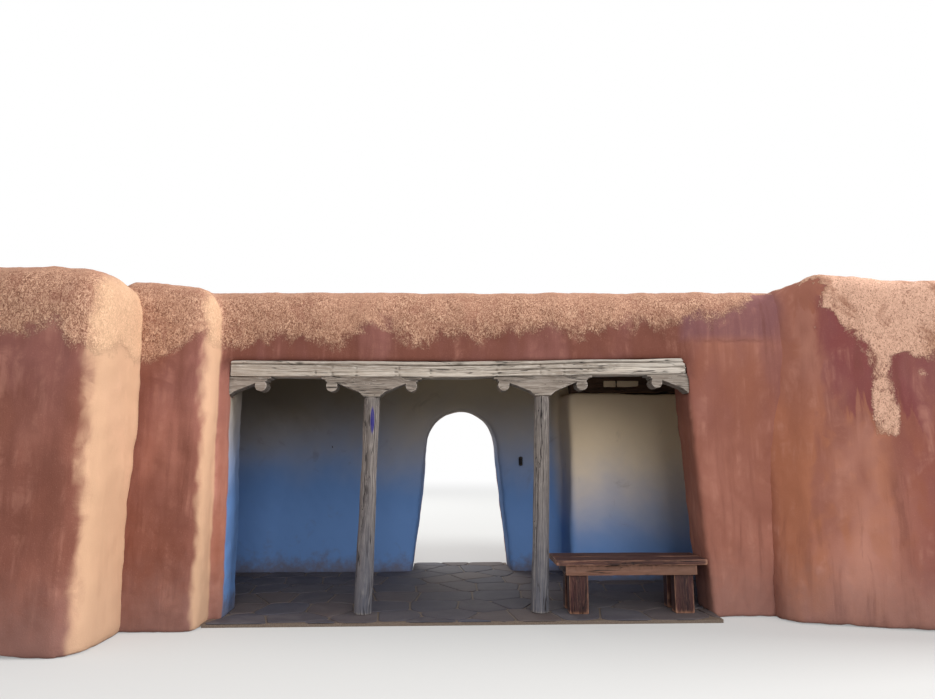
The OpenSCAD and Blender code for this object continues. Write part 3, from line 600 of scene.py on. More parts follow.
def makePlaster(s):
    material, tree, shader = newMaterial("earthplaster")
    at = readSurface(tree)
    crest = crestMask(tree, at, s)
    seam = seamMask(tree, at, s)
    wash = washMask(tree, at, s)
    # painted sunlight on the straw-rich crests and on the left faces turned right, and a darker seam line
    base = coated(tree, mudColor(tree, at, s), [
        (crest, 0.95, sunlitStrawColor(tree, at, s)),
        (paintedSunMask(tree, at, s), 0.55, s["paintedSunSide"]),
        (seam, 0.25, s["streak"]),
    ])
    base = paint(tree, wash, base, washColor(tree, at, s))
    bareSunlitCrest = times(tree, crest, maths(tree, "SUBTRACT", 1.0, wash))
    coarse = maths(tree, "MULTIPLY_ADD", bareSunlitCrest, 0.9, 0.18)
    height = times(tree, at["straw"], coarse)
    for relief, amount in ((at["grit"], 0.10), (at["patch"], 0.35), (seam, -0.5)):
        height = maths(tree, "MULTIPLY_ADD", relief, amount, height)
    roughness = maths(tree, "MULTIPLY_ADD", at["patch"], 0.06, s["roughness"] - 0.03)
    connect(tree, shader, base, roughness, height, s["bump"], s["bumpDepth"])
    shader.inputs["Specular IOR Level"].default_value = 0.25
    return material


# Woods: each timber's mesh carries its grain direction and its tone
woodSettings = {
    "greywood": {
        "dark": color(142, 127, 113), "mid": color(188, 174, 159), "light": color(226, 218, 208),
        "crack": color(40, 32, 28), "dustColor": color(160, 140, 122), "dust": 0.35, "fibre": 0.75,
        "wear": 0.55, "knots": 1.0, "roughness": 0.82,
    },
    "carvedwood": {
        "dark": color(112, 99, 88), "mid": color(150, 137, 126), "light": color(194, 184, 174),
        "crack": color(36, 29, 26), "dustColor": color(150, 132, 116), "dust": 0.3, "fibre": 0.75,
        "wear": 0.6, "knots": 0.8, "roughness": 0.82,
    },
    "postwood": {
        "dark": color(84, 76, 74), "mid": color(122, 113, 108), "light": color(172, 163, 156),
        "crack": color(34, 29, 30), "dustColor": color(150, 132, 118), "dust": 0.2, "fibre": 0.75,
        "wear": 0.5, "knots": 0.7, "roughness": 0.84,
        # a painted blue shade on the post's lower part
        "foot": {"color": color(76, 84, 102), "reach": 1.7},
        "mark": {"color": color(36, 32, 112), "centre": (-0.862, -0.08, 1.855), "squeeze": (50.0, 12.0, 7.6)},
    },
    "darkwood": {
        "dark": color(50, 35, 27), "mid": color(78, 56, 42), "light": color(112, 86, 66),
        "crack": color(18, 13, 11), "dustColor": color(120, 96, 78), "dust": 0.25, "fibre": 0.75,
        "wear": 0.4, "knots": 1.0, "roughness": 0.78,
    },
    "benchwood": {
        "dark": color(38, 16, 20), "mid": color(62, 29, 30), "light": color(158, 116, 94),
        "crack": color(20, 9, 10), "dustColor": color(84, 56, 60), "dust": 0.25, "fibre": 0.3,
        "wear": 1.0, "knots": 0.6, "roughness": 0.62,
    },
}


def paintMark(tree, place, fibre, mark):  # an oval dab of old paint, worn through along the fibres
    away = vectorMaths(tree, "SUBTRACT", place, mark["centre"])[0]
    away = vectorMaths(tree, "LENGTH", stretched(tree, away, mark["squeeze"]))["Value"]
    return times(tree, fade(tree, away, 1.15, 0.75), fade(tree, fibre, 0.26, 0.44))


def makeWood(name, s):
    material, tree, shader = newMaterial(name)
    place = objectPlace(tree)
    grain = put(tree, "Attribute", attribute_name="grain").outputs["Vector"]
    wood = useGroup(tree, woodGrain, Grain=grain, Knots=s["knots"])
    wear = useGroup(tree, edgeWear, Place=place, Reach=0.05)
    dust = useGroup(tree, dustFall, Place=place, Splash=0.45)
    coats = [
        (fade(tree, wood["Fibre"], 0.45, 0.70), s["fibre"], s["light"]),
        (meshTone(tree), 0.45, s["light"]),
    ]
    # a painted blue shade low on the timber
    if "foot" in s:
        coats.append((fade(tree, axes(tree, place)[2], s["foot"]["reach"], 0.0), 0.6, s["foot"]["color"]))
    if "mark" in s:
        coats.append((paintMark(tree, place, wood["Fibre"], s["mark"]), 0.95, s["mark"]["color"]))
    coats += [
        (wear["Edge"], s["wear"], s["light"]),
        (wear["Hollow"], 0.6, s["crack"]),
        (dust["Dust"], s["dust"], s["dustColor"]),
        (wood["Knot"], 0.8, s["crack"]),
        (wood["Crack"], 0.9, s["crack"]),
    ]
    base = paint(tree, fade(tree, wood["Band"], 0.36, 0.64), s["dark"], s["mid"])
    height = times(tree, wood["Fibre"], 0.5)
    for relief, amount in (("Crack", -1.3), ("Band", 0.3), ("Knot", 0.4)):
        height = maths(tree, "MULTIPLY_ADD", wood[relief], amount, height)
    roughness = maths(tree, "MULTIPLY_ADD", wood["Fibre"], 0.16, s["roughness"] - 0.08)
    connect(tree, shader, coated(tree, base, coats), roughness, height, 0.6, 0.004)
    shader.inputs["Specular IOR Level"].default_value = 0.3
    return material


# the flags are kept dark and blue-grey: painted porch shade over the stone's random tones
stoneSettings = {
    "dark": color(58, 58, 70), "light": color(82, 80, 88), "brown": color(100, 84, 76),
    "blue": color(62, 68, 86), "speck": color(118, 110, 106), "dust": color(140, 118, 100),
    "mortarDark": color(98, 84, 74), "mortarLight": color(128, 112, 98),
}


def makeStone(s):  # flags have a tone from 0 to 1, the mortar bed lies below 0
    material, tree, shader = newMaterial("flagstone")
    place = objectPlace(tree)
    tone = meshTone(tree)
    vein = cloud(tree, stretched(tree, place, (3, 3, 30)), 1.0, 5.0, 0.65, 1.2)
    speck = cloud(tree, place, 130.0, 3.0, 0.7)
    dust = useGroup(tree, dustFall, Place=place, Splash=0.1)["Dust"]
    base = coated(tree, paint(tree, fade(tree, vein, 0.35, 0.65), s["dark"], s["light"]), [
        (fade(tree, tone, 0.55, 1.0), 0.5, s["brown"]),
        (fade(tree, tone, 0.45, 0.0), 0.5, s["blue"]),
        (fade(tree, speck, 0.55, 0.7), 0.35, s["speck"]),
        (dust, 0.12, s["dust"]),
    ])
    mortar = paint(tree, fade(tree, speck, 0.4, 0.6), s["mortarDark"], s["mortarLight"])
    base = paint(tree, fade(tree, tone, -0.2, -0.6), base, mortar)
    height = maths(tree, "MULTIPLY_ADD", speck, 0.25, vein)
    roughness = maths(tree, "MULTIPLY_ADD", vein, 0.2, 0.68)
    connect(tree, shader, base, roughness, height, 0.5, 0.006)
    return material


roofEarthSettings = {
    "dark": color(120, 94, 77), "light": color(150, 121, 101), "straw": color(98, 78, 66),
    "sand": color(178, 156, 138), "pebbleDark": color(118, 108, 102), "pebbleLight": color(168, 158, 148),
}


def makeRoofEarth(s):  # the earth has tone 0, its pebbles tone 1
    material, tree, shader = newMaterial("roofearth")
    place = objectPlace(tree)
    mud = useGroup(tree, mudPlaster, Place=place)
    grain = cloud(tree, place, 60.0, 4.0, 0.75)
    worn = maths(tree, "MULTIPLY_ADD", mud["Patch"], 0.3, times(tree, mud["Mottle"], 0.7))
    base = coated(tree, paint(tree, fade(tree, worn, 0.32, 0.66), s["dark"], s["light"]), [
        (fade(tree, mud["Straw"], 0.52, 0.64), 0.45, s["straw"]),
        (fade(tree, grain, 0.5, 0.66), 0.7, s["sand"]),
    ])
    pebble = paint(tree, fade(tree, grain, 0.4, 0.6), s["pebbleDark"], s["pebbleLight"])
    base = paint(tree, fade(tree, meshTone(tree), 0.1, 0.6), base, pebble)
    height = maths(tree, "MULTIPLY_ADD", grain, 0.6, mud["Patch"])
    roughness = maths(tree, "MULTIPLY_ADD", grain, 0.08, 0.88)
    connect(tree, shader, base, roughness, height, 0.7, 0.01)
    return material


ironSettings = {
    "black": color(24, 22, 22), "rust": color(70, 42, 30), "worn": color(92, 86, 80),
    "reach": 0.04, "metallic": 0.6,
}


def makeIron(s):
    material, tree, shader = newMaterial("darkiron")
    place = objectPlace(tree)
    rust = cloud(tree, place, 70.0, 4.0, 0.7, 0.5)
    wear = useGroup(tree, edgeWear, Place=place, Reach=s["reach"])
    base = paint(tree, fade(tree, rust, 0.52, 0.72), s["black"], s["rust"])
    base = coated(tree, base, [(wear["Edge"], 0.5, s["worn"])])
    roughness = maths(tree, "MULTIPLY_ADD", rust, 0.35, 0.38)
    connect(tree, shader, base, roughness, rust, 0.3, 0.001)
    shader.inputs["Metallic"].default_value = s["metallic"]
    return material


glassSettings = {
    "clear": color(208, 218, 216), "dusty": color(170, 166, 156), "dustRoughness": 0.22,
    "transmission": 0.9, "ior": 1.45,
}


def makeGlass(s):
    material, tree, shader = newMaterial("oldglass")
    place = objectPlace(tree)
    wave = cloud(tree, place, 5.0, 2.0, 0.5)
    dust = cloud(tree, place, 24.0, 5.0, 0.7)
    base = paint(tree, fade(tree, dust, 0.45, 0.75), s["clear"], s["dusty"])
    roughness = times(tree, fade(tree, dust, 0.5, 0.8), s["dustRoughness"])
    connect(tree, shader, base, roughness, wave, 0.25, 0.01)
    shader.inputs["Transmission Weight"].default_value = s["transmission"]
    shader.inputs["IOR"].default_value = s["ior"]
    return material


earthPlaster = makePlaster(plasterSettings)
woods = {name: makeWood(name, s) for name, s in woodSettings.items()}
flagstone = makeStone(stoneSettings)
roofEarth = makeRoofEarth(roofEarthSettings)
darkIron = makeIron(ironSettings)
oldGlass = makeGlass(glassSettings)
print("finishes mixed:", len(bpy.data.materials))

# Shape helpers. A part is a closed solid: points, faces, grain place and tone of each point

def softNoise(points, size, seed, waves=16):
    rng = np.random.default_rng(seed)
    total = np.zeros(points.shape[:-1])
    for _ in range(waves):
        way = rng.normal(size=3)
        way /= np.linalg.norm(way)
        length = size * rng.uniform(0.6, 1.7)
        total += np.sin(points @ way * (2 * math.pi / length) + rng.uniform(0, 2 * math.pi))
    return total / math.sqrt(waves / 2)


def normalsOf(mesh):
    out = np.zeros(len(mesh.vertices) * 3, np.float32)
    mesh.vertex_normals.foreach_get("vector", out)
    return out.reshape(-1, 3).astype(float)


def setPoints(mesh, points):
    mesh.vertices.foreach_set("co", points.astype(np.float32).ravel())
    mesh.update()


def writeGrain(mesh, grain, tone):
    vector = mesh.attributes.new("grain", "FLOAT_VECTOR", "POINT")
    vector.data.foreach_set("vector", np.asarray(grain, np.float32).ravel())
    value = mesh.attributes.new("tone", "FLOAT", "POINT")
    value.data.foreach_set("value", np.asarray(tone, np.float32).ravel())


def makeMesh(name, parts, sharp=40.0):
    points, faces, grain, tone, start = [], [], [], [], 0
    for part in parts:
        points.append(part["points"])
        faces += [tuple(i + start for i in face) for face in part["faces"]]
        grain.append(part.get("grain", part["points"]))
        tone.append(np.full(len(part["points"]), part.get("tone", 0.0)))
        start += len(part["points"])
    mesh = bpy.data.meshes.new(name)
    mesh.from_pydata(np.vstack(points).tolist(), [], faces)
    mesh.polygons.foreach_set("use_smooth", [True] * len(mesh.polygons))
    if sharp:
        mesh.set_sharp_from_angle(angle=math.radians(sharp))
    writeGrain(mesh, np.vstack(grain), np.concatenate(tone))
    mesh.update()
    return mesh


def dress(name, mesh, material, slot, *nodes):
    ob = bpy.data.objects.new(name, mesh)
    bpy.context.collection.objects.link(ob)
    mesh.materials.clear()
    mesh.materials.append(material)
    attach(ob, "root")
    if nodes:
        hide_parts(*nodes)
    print("made", name, len(mesh.polygons), "faces")


def plainName(node):
    return node.replace("_", "")


def dressParts(node, parts, material, slot, sharp=40.0):  # one mesh in place of one CAD node
    name = plainName(node)
    dress(name, makeMesh(name, parts, sharp), material, slot, node)


def nodePart(node, shift=(0, 0, 0)):
    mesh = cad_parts[node].data
    return {"points": pointsOf(mesh) + np.array(shift), "faces": [tuple(p.vertices) for p in mesh.polygons]}


def solidBoxes(node):  # low and high corner of each separate solid in a CAD node
    bm = bmesh.new()
    bm.from_mesh(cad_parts[node].data)
    bmesh.ops.remove_doubles(bm, verts=bm.verts, dist=1e-5)
    left = set(bm.verts)
    boxes = []
    while left:
        stack = [left.pop()]
        group = []
        while stack:
            v = stack.pop()
            group.append(tuple(v.co))
            for e in v.link_edges:
                other = e.other_vert(v)
                if other in left:
                    left.remove(other)
                    stack.append(other)
        boxes.append((np.min(group, axis=0), np.max(group, axis=0)))
    bm.free()
    return sorted(boxes, key=lambda b: tuple(np.round(b[0], 3)))


def modified(name, raw, kind, **settings):  # the mesh that one modifier makes of another
    ob = bpy.data.objects.new(name + "raw", raw)
    bpy.context.collection.objects.link(ob)
    modifier = ob.modifiers.new("change", kind)
    for key, value in settings.items():
        setattr(modifier, key, value)
    bpy.context.view_layer.update()
    done = bpy.data.meshes.new_from_object(ob.evaluated_get(bpy.context.evaluated_depsgraph_get()))
    bpy.data.objects.remove(ob)
    bpy.data.meshes.remove(raw)
    done.name = name
    return done


def remeshed(name, parts, voxel):
    raw = makeMesh(name + "raw", parts, sharp=0)
    return modified(name, raw, "REMESH", mode="VOXEL", voxel_size=voxel, use_smooth_shade=True)


def thinned(mesh, most):  # fewer triangles where the surface is nearly flat
    triangles = sum(len(p.vertices) - 2 for p in mesh.polygons)
    return modified(mesh.name, mesh, "DECIMATE", ratio=min(1.0, most / triangles))


def relaxed(mesh, rounds, amount=0.6):
    edges = np.zeros(len(mesh.edges) * 2, np.int32)
    mesh.edges.foreach_get("vertices", edges)
    a, b = edges[0::2], edges[1::2]
    points = pointsOf(mesh)
    count = np.bincount(a, minlength=len(points)) + np.bincount(b, minlength=len(points))
    for _ in range(rounds):
        total = np.zeros_like(points)
        for axis in range(3):
            total[:, axis] = np.bincount(a, points[b, axis], len(points))
            total[:, axis] += np.bincount(b, points[a, axis], len(points))
        points += (total / np.maximum(count, 1)[:, None] - points) * amount
    setPoints(mesh, points)


def pushed(mesh, lift):  # moves each point out along its normal, and tells where the points are now
    points = pointsOf(mesh) + normalsOf(mesh) * lift[:, None]
    setPoints(mesh, points)
    return points


def gridFaces(rows, sides):  # quads of a closed tube, with a cap at each end
    row = np.arange(rows - 1)[:, None] * sides
    a = np.arange(sides)[None, :]
    b = (a + 1) % sides
    quads = np.stack([row + a, row + b, row + sides + b, row + sides + a], axis=-1).reshape(-1, 4)
    faces = [tuple(q) for q in quads.tolist()]
    faces.append(tuple(range(sides - 1, -1, -1)))
    faces.append(tuple(range((rows - 1) * sides, rows * sides)))
    return faces


def crackDepth(t, across, size, s, rng):  # drying cracks that run along a timber
    depth = np.zeros(np.broadcast(t, across).shape)
    length = t.max()
    for _ in range(s.get("cracks", 0)):
        middle = rng.uniform(0, size)
        centre = rng.uniform(0, length)
        reach = rng.uniform(0.12, 0.45) * length + 0.05
        wander = 0.004 * np.sin(t * rng.uniform(3, 9) + rng.uniform(0, 6))
        away = np.abs(across - middle - wander)
        away = np.minimum(away, size - away)
        taper = np.clip(1 - ((t - centre) / reach) ** 2, 0, 1)
        wide = s["crackWidth"] * rng.uniform(0.6, 1.3)
        depth += s["crackDepth"] * rng.uniform(0.4, 1.0) * taper * np.exp(-(away / wide) ** 2)
    return np.minimum(depth, s.get("crackDepth", 0))


def lengthwise(start, end):  # start, direction and length of a timber
    start, end = np.array(start, float), np.array(end, float)
    length = np.linalg.norm(end - start)
    return start, (end - start) / length, length


def stations(length, inset, step):  # rows of points along a timber, with one at each end
    inner = np.linspace(inset, length - inset, max(3, int(length / step)))
    return np.concatenate([[0.0], inner, [length]])[:, None]


def timberPart(points, local, rng):
    rows, sides = points.shape[:2]
    grain = (local + rng.uniform(0, 20, 3)).reshape(-1, 3)
    faces = gridFaces(rows, sides)
    return {"points": points.reshape(-1, 3), "faces": faces, "grain": grain, "tone": rng.uniform(0, 1)}


endCut = 0.006  # how far a round timber's ends are rounded off
knotShape = {"height": 0.006, "length": 0.035, "width": 0.028}


def roundTimber(start, end, radiusLow, radiusHigh, s, seed):
    rng = np.random.default_rng(seed)
    start, along, length = lengthwise(start, end)
    side = np.cross(along, (0.31, 0.17, 0.93) if abs(along[2]) < 0.9 else (0, 1, 0))
    side /= np.linalg.norm(side)
    rise = np.cross(along, side)
    t = stations(length, endCut, s["step"])
    angle = np.linspace(0, 2 * math.pi, s["sides"], endpoint=False)[None, :]
    radius = radiusLow + (radiusHigh - radiusLow) * t / length
    local = np.stack([t + 0 * angle, radius * np.cos(angle), radius * np.sin(angle)], axis=-1)
    grow = s["wave"] * softNoise(local * (0.5, 0.9, 0.9), 0.35, seed)
    grow += s["fibre"] * softNoise(local * (0.06, 1, 1), 0.02, seed + 1)
    grow -= crackDepth(t, angle * radiusLow, 2 * math.pi * radiusLow, s, rng)
    for _ in range(s.get("knots", 0)):
        spot = rng.uniform(0.1, 0.9) * length
        away = np.abs(angle - rng.uniform(0, 2 * math.pi))
        away = np.minimum(away, 2 * math.pi - away) * radiusLow
        bulge = ((t - spot) / knotShape["length"]) ** 2 + (away / knotShape["width"]) ** 2
        grow += knotShape["height"] * np.exp(-bulge)
    grow = np.minimum(grow, s.get("proud", 0.004))
    grow[0] -= endCut
    grow[-1] -= endCut
    reach = radius + grow
    across = side * (reach * np.cos(angle))[..., None]
    upward = rise * (reach * np.sin(angle))[..., None]
    return timberPart(start + along * t[..., None] + across + upward, local, rng)


def ringOf(w, h, r, spacing):  # rounded rectangle: place, outward direction and distance round it
    u, v, nu, nv = [], [], [], []
    corners = [(1, 1, 0), (-1, 1, 90), (-1, -1, 180), (1, -1, 270)]
    for k, (cx, cy, turn) in enumerate(corners):
        for a in (0, 30, 60, 90):
            way = math.radians(turn + a)
            u.append(cx * (w / 2 - r) + r * math.cos(way))
            v.append(cy * (h / 2 - r) + r * math.sin(way))
            nu.append(math.cos(way))
            nv.append(math.sin(way))
        nx, ny = corners[(k + 1) % 4][:2]
        gapU = nx * (w / 2 - r) - cx * (w / 2 - r)
        gapV = ny * (h / 2 - r) - cy * (h / 2 - r)
        count = max(1, int(math.hypot(gapU, gapV) / spacing))
        cornerU, cornerV = u[-1], v[-1]
        for step in range(1, count):
            u.append(cornerU + gapU * (step / count))
            v.append(cornerV + gapV * (step / count))
            nu.append(math.cos(way))
            nv.append(math.sin(way))
    u, v = np.array(u), np.array(v)
    walk = np.concatenate([[0], np.cumsum(np.hypot(np.diff(u), np.diff(v)))])
    return u, v, np.array(nu), np.array(nv), walk


def squareTimber(start, end, side, w, h, s, seed, carve=None):
    rng = np.random.default_rng(seed)
    start, along, length = lengthwise(start, end)
    side = np.array(side, float)
    rise = np.cross(along, side)
    r = s["round"]
    u, v, nu, nv, walk = ringOf(w, h, r, s["spacing"])
    t = stations(length, r, s["step"])
    local = np.stack([t + 0 * u, u + 0 * t, v + 0 * t], axis=-1)
    grow = s["wave"] * softNoise(local * (0.4, 1, 1), 0.25, seed)
    grow += s["fibre"] * softNoise(local * (0.05, 1, 1), 0.016, seed + 1)
    grow -= crackDepth(t, walk[None, :], walk[-1], s, rng)
    if carve:
        grow += carve(local)
    grow = np.minimum(grow, s.get("proud", 0.002))
    shrink = np.ones_like(t)
    shrink[0] = shrink[-1] = 1 - 2 * r / max(w, h)
    across = side * (u * shrink + nu * grow)[..., None]
    upward = rise * (v * shrink + nv * grow)[..., None]
    return timberPart(start + along * t[..., None] + across + upward, local, rng)


def boxTimber(low, high, s, seed, axis=0):  # a squared timber that fills a box, with its grain along one axis
    low, high = np.array(low, float), np.array(high, float)
    start, end = (low + high) / 2, (low + high) / 2
    start[axis], end[axis] = low[axis], high[axis]
    size = high - low
    side = np.eye(3)[(axis + 1) % 3]
    return squareTimber(start, end, side, size[(axis + 1) % 3], size[(axis + 2) % 3], s, seed)


def ironRod(start, end, radiusLow, radiusHigh, seed, sides=16, step=0.01):
    plain = {"step": step, "sides": sides, "wave": 0, "fibre": 0}
    return roundTimber(start, end, radiusLow, radiusHigh, plain, seed)


def clipped(polygon, point, normal):  # the part of an outline on the side that the normal points to
    out = []
    for i, a in enumerate(polygon):
        b = polygon[(i + 1) % len(polygon)]
        da, db = (a - point) @ normal, (b - point) @ normal
        if da >= 0:
            out.append(a)
        if (da >= 0) != (db >= 0):
            out.append(a + (b - a) * (da / (da - db)))
    return out


def softCorners(polygon, cut):
    out = []
    for i, p in enumerate(polygon):
        for q in (polygon[i - 1], polygon[(i + 1) % len(polygon)]):
            way = q - p
            size = np.linalg.norm(way)
            if size > 1e-6:
                out.append(p + way / size * min(cut, size * 0.3))
    return out


def areaOf(polygon):
    here = np.array(polygon)
    after = np.roll(here, -1, axis=0)
    return 0.5 * abs(np.sum(here[:, 0] * after[:, 1] - here[:, 1] * after[:, 0]))


def bandFaces(rings, n):  # quads between rings of n points each
    faces = []
    for k in range(rings - 1):
        for i in range(n):
            j = (i + 1) % n
            faces.append((k * n + i, k * n + j, (k + 1) * n + j, (k + 1) * n + i))
    return faces


def slab(outline, low, top, tone):
    n = len(outline)
    points = np.vstack([np.column_stack([np.array(outline), np.full(n, z)]) for z in (low, top)])
    faces = [tuple(range(n - 1, -1, -1)), tuple(range(n, 2 * n))] + bandFaces(2, n)
    return {"points": points, "faces": faces, "tone": tone}


def tile(polygon, low, top, bevel, tone, jitter, seed):  # a bevelled slab with a slightly uneven face
    rng = np.random.default_rng(seed)
    flat = np.array(polygon)
    centre = flat.mean(axis=0)
    way = centre - flat
    inset = flat + way / np.maximum(np.linalg.norm(way, axis=1), 1e-6)[:, None] * bevel
    half = inset + (centre - inset) * 0.5
    rings = [(flat, low), (flat, top - bevel * 0.7), (inset, top), (half, top)]
    n = len(flat)
    points = [np.column_stack([ring, np.full(n, z)]) for ring, z in rings]
    for k in (2, 3):
        points[k][:, 2] -= rng.uniform(0, jitter, n)
    points.append(np.array([[centre[0], centre[1], top - rng.uniform(0, jitter)]]))
    points = np.vstack(points)
    faces = [tuple(range(n - 1, -1, -1))] + bandFaces(4, n)
    faces += [(3 * n + i, 3 * n + (i + 1) % n, 4 * n) for i in range(n)]
    return {"points": points, "faces": faces, "grain": points + rng.uniform(0, 20, 3), "tone": tone}


lowCorner = np.array(cadBounds[0])
highCorner = np.array(cadBounds[1])
print("cad box:", lowCorner.round(3), highCorner.round(3))

# Earth walls: hand-plastered skins drawn over the plain masses, calmer beside the openings.
# Each piece under reach is a copy that runs on into its neighbour, so that no joint shows
beamLow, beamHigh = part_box("portal_beam")
beside, postTop = 0.25, 2.05  # calm round the beam's ends, from the tops of the posts upwards
openings = [((beamLow[0] - beside, -beside, postTop), (beamHigh[0] + beside, 0.2, beamHigh[2]))]
openings += solidBoxes("rear_lintels") + solidBoxes("door_frames") + solidBoxes("window_frames")
wingSkin = {
    "reach": [], "voxel": 0.036, "rounds": 4, "swell": 0.008, "dent": 0.004, "trowel": 0.002,
    "triangles": 96000, "slot": "adobe",
}
wallSides = ("front", "end", "rear", "inner")
skinSettings = {
    "leftwing": dict(wingSkin, seed=11, nodes=[f"left_{side}_wall" for side in wallSides]),
    "rightwing": dict(wingSkin, seed=12, nodes=[f"right_{side}_wall" for side in wallSides]),
    "porchfront": {
        "nodes": ["left_pier", "right_pier", "portal_parapet"],
        "reach": [
            ("left_pier", (-0.12, 0, 0)), ("right_pier", (0.12, 0, 0)), ("portal_parapet", (0.12, 0, 0)),
        ],
        "voxel": 0.020, "rounds": 6, "swell": 0.005, "dent": 0.003, "trowel": 0.0015, "seed": 13,
        "triangles": 106000, "slot": "adobe",
    },
    "archwall": {
        "nodes": ["arch_wall", "bay_block"],
        "reach": [("bay_block", (0.10, 0, 0)), ("bay_block", (0, 0.10, 0))],
        "voxel": 0.030, "rounds": 5, "swell": 0.006, "dent": 0.003, "trowel": 0.001, "seed": 14,
        "triangles": 60000, "slot": "whitewash",
    },
}


def calm(points, boxes, reach=0.16, least=0.15):  # least beside an opening, 1 away from it
    factor = np.ones(len(points))
    for low, high in boxes:
        away = np.maximum(np.maximum(np.array(low) - points, points - np.array(high)), 0)
        factor = np.minimum(factor, np.linalg.norm(away, axis=1) / reach)
    return np.clip(factor, least, 1)


def earthSkin(name, s):
    parts = [nodePart(node) for node in s["nodes"]] + [nodePart(node, shift) for node, shift in s["reach"]]
    mesh = remeshed(name, parts, s["voxel"])
    relaxed(mesh, s["rounds"])
    points = pointsOf(mesh)
    lift = s["swell"] * (softNoise(points, 1.1, s["seed"]) - 0.4)
    lift += s["dent"] * softNoise(points, 0.36, s["seed"] + 100)
    lift += s["trowel"] * softNoise(points, 0.11, s["seed"] + 200)
    pushed(mesh, lift * calm(points, openings))
    mesh = thinned(mesh, s["triangles"])
    setPoints(mesh, np.clip(pointsOf(mesh), lowCorner, highCorner))
    return mesh


for skinName, s in skinSettings.items():
    dress(skinName, earthSkin(skinName, s), earthPlaster, s["slot"], *s["nodes"])

# Carved timbers of the porch: remeshed from the solids, then weathered along the grain
carvedSettings = {
    "voxel": 0.005, "rounds": 1, "swell": 0.0012, "fibre": 0.0009, "proud": 0.0015, "tone": 0.1,
    "crack": 0.004, "crackWidth": 0.05, "crackedFrom": 0.2,
    "seeds": {"left_bolster": 31, "right_bolster": 32, "left_corbel": 33, "right_corbel": 34},
    "triangles": {"left_bolster": 42000, "right_bolster": 42000, "left_corbel": 28000, "right_corbel": 28000},
}


def carvedTimber(node, s):
    seed = s["seeds"][node]
    mesh = remeshed(plainName(node), [nodePart(node)], s["voxel"])
    relaxed(mesh, s["rounds"])
    points = pointsOf(mesh)
    lift = s["swell"] * softNoise(points * (0.3, 1, 1), 0.12, seed)
    lift += s["fibre"] * softNoise(points * (0.06, 1, 1), 0.018, seed + 1)
    line = softNoise(points * (0.12, 1, 1), 0.06, seed + 2)
    cracked = softNoise(points, 0.4, seed + 3) > s["crackedFrom"]
    lift -= s["crack"] * np.exp(-(line / s["crackWidth"]) ** 2) * cracked
    pushed(mesh, np.minimum(lift, s["proud"]))
    mesh = thinned(mesh, s["triangles"][node])
    points = pointsOf(mesh)
    writeGrain(mesh, points + seed, np.full(len(points), s["tone"]))
    return mesh


for node in carvedSettings["seeds"]:
    mesh = carvedTimber(node, carvedSettings)
    dress(plainName(node), mesh, woods["carvedwood"], "weathered_wood", node)

# Porch beam: a long squared timber with a lip along its upper front edge
plateLow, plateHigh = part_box("wall_plate")
beamSettings = {
    "timber": {"spacing": 0.006, "step": 0.018, "round": 0.010, "wave": 0.0022, "fibre": 0.0008,
               "cracks": 34, "crackDepth": 0.014, "crackWidth": 0.0050, "proud": 0.003},
    "frontDepth": 0.02, "lipHeight": 0.034, "lipGroove": 0.014, "grooveWidth": 0.007, "faceBack": 0.006,
    "gashes": [-1.42, -1.26, -1.02, -0.64, -0.61, -0.30, 0.36, 0.79, 1.02],
    "gashWidth": 0.006, "gashDepth": 0.014,
    "ragged": 0.07, "raggedDepth": 0.022,
    "toneLow": 0.20, "bleachFrom": 1.3, "bleachReach": 0.8,
    "builtIn": 0.028,  # each end runs on into the plaster
}


def makeBeam(s):
    low, high = np.array(beamLow), np.array(beamHigh)
    rise = high[2] - plateLow[2]
    width = high[1] - low[1]
    height = high[2] - low[2] - rise
    middle = low[2] + height / 2

    def lip(local):
        t, u, v = local[..., 0], local[..., 1], local[..., 2]
        front = u < -width / 2 + s["frontDepth"]
        line = height / 2 - s["lipHeight"] + 0.003 * np.sin(t * 2.1) + 0.002 * np.sin(t * 5.3 + 1)
        groove = -s["lipGroove"] * np.exp(-((v - line) / s["grooveWidth"]) ** 2)
        back = -s["faceBack"] * (v < line)
        for place in s["gashes"]:  # short splits across the face
            away = t + low[0] - place - 0.008 * np.sin(v * 90 + place * 50)
            belowLip = v < line - 0.02 * (place < 0)
            back = back - s["gashDepth"] * np.exp(-(away / s["gashWidth"]) ** 2) * belowLip
        frayed = np.clip((t - (t.max() - s["ragged"])) / s["ragged"], 0, 1)
        frayed = frayed * (0.6 + 0.4 * softNoise(local * (1, 4, 4), 0.12, 5))
        return np.where(front, groove + back, 0) - s["raggedDepth"] * frayed

    low[0] -= s["builtIn"]
    high[0] += s["builtIn"]
    start, end = (low[0], 0, middle), (high[0], 0, middle)
    part = squareTimber(start, end, (0, 1, 0), width, height, s["timber"], 41, lip)
    x = part["points"][:, 0]
    part["points"][:, 2] += rise * np.maximum(x, 0) / high[0]
    wingSunlit = np.clip((x - s["bleachFrom"]) / s["bleachReach"], 0, 1)
    part["tone"] = s["toneLow"] + (1 - s["toneLow"]) * wingSunlit
    return part


dressParts("portal_beam", [makeBeam(beamSettings)], woods["greywood"], "weathered_wood", sharp=60)

# Round posts that taper and lean a little
postSettings = {
    "timber": {"step": 0.014, "sides": 120, "wave": 0.0025, "fibre": 0.0010,
               "cracks": 22, "crackDepth": 0.011, "crackWidth": 0.0042, "knots": 3, "proud": 0.004},
    "inset": 0.002, "endReach": 0.03,
    "seedAndTone": {"left_post": (51, 0.2), "right_post": (58, 0.35)},
}


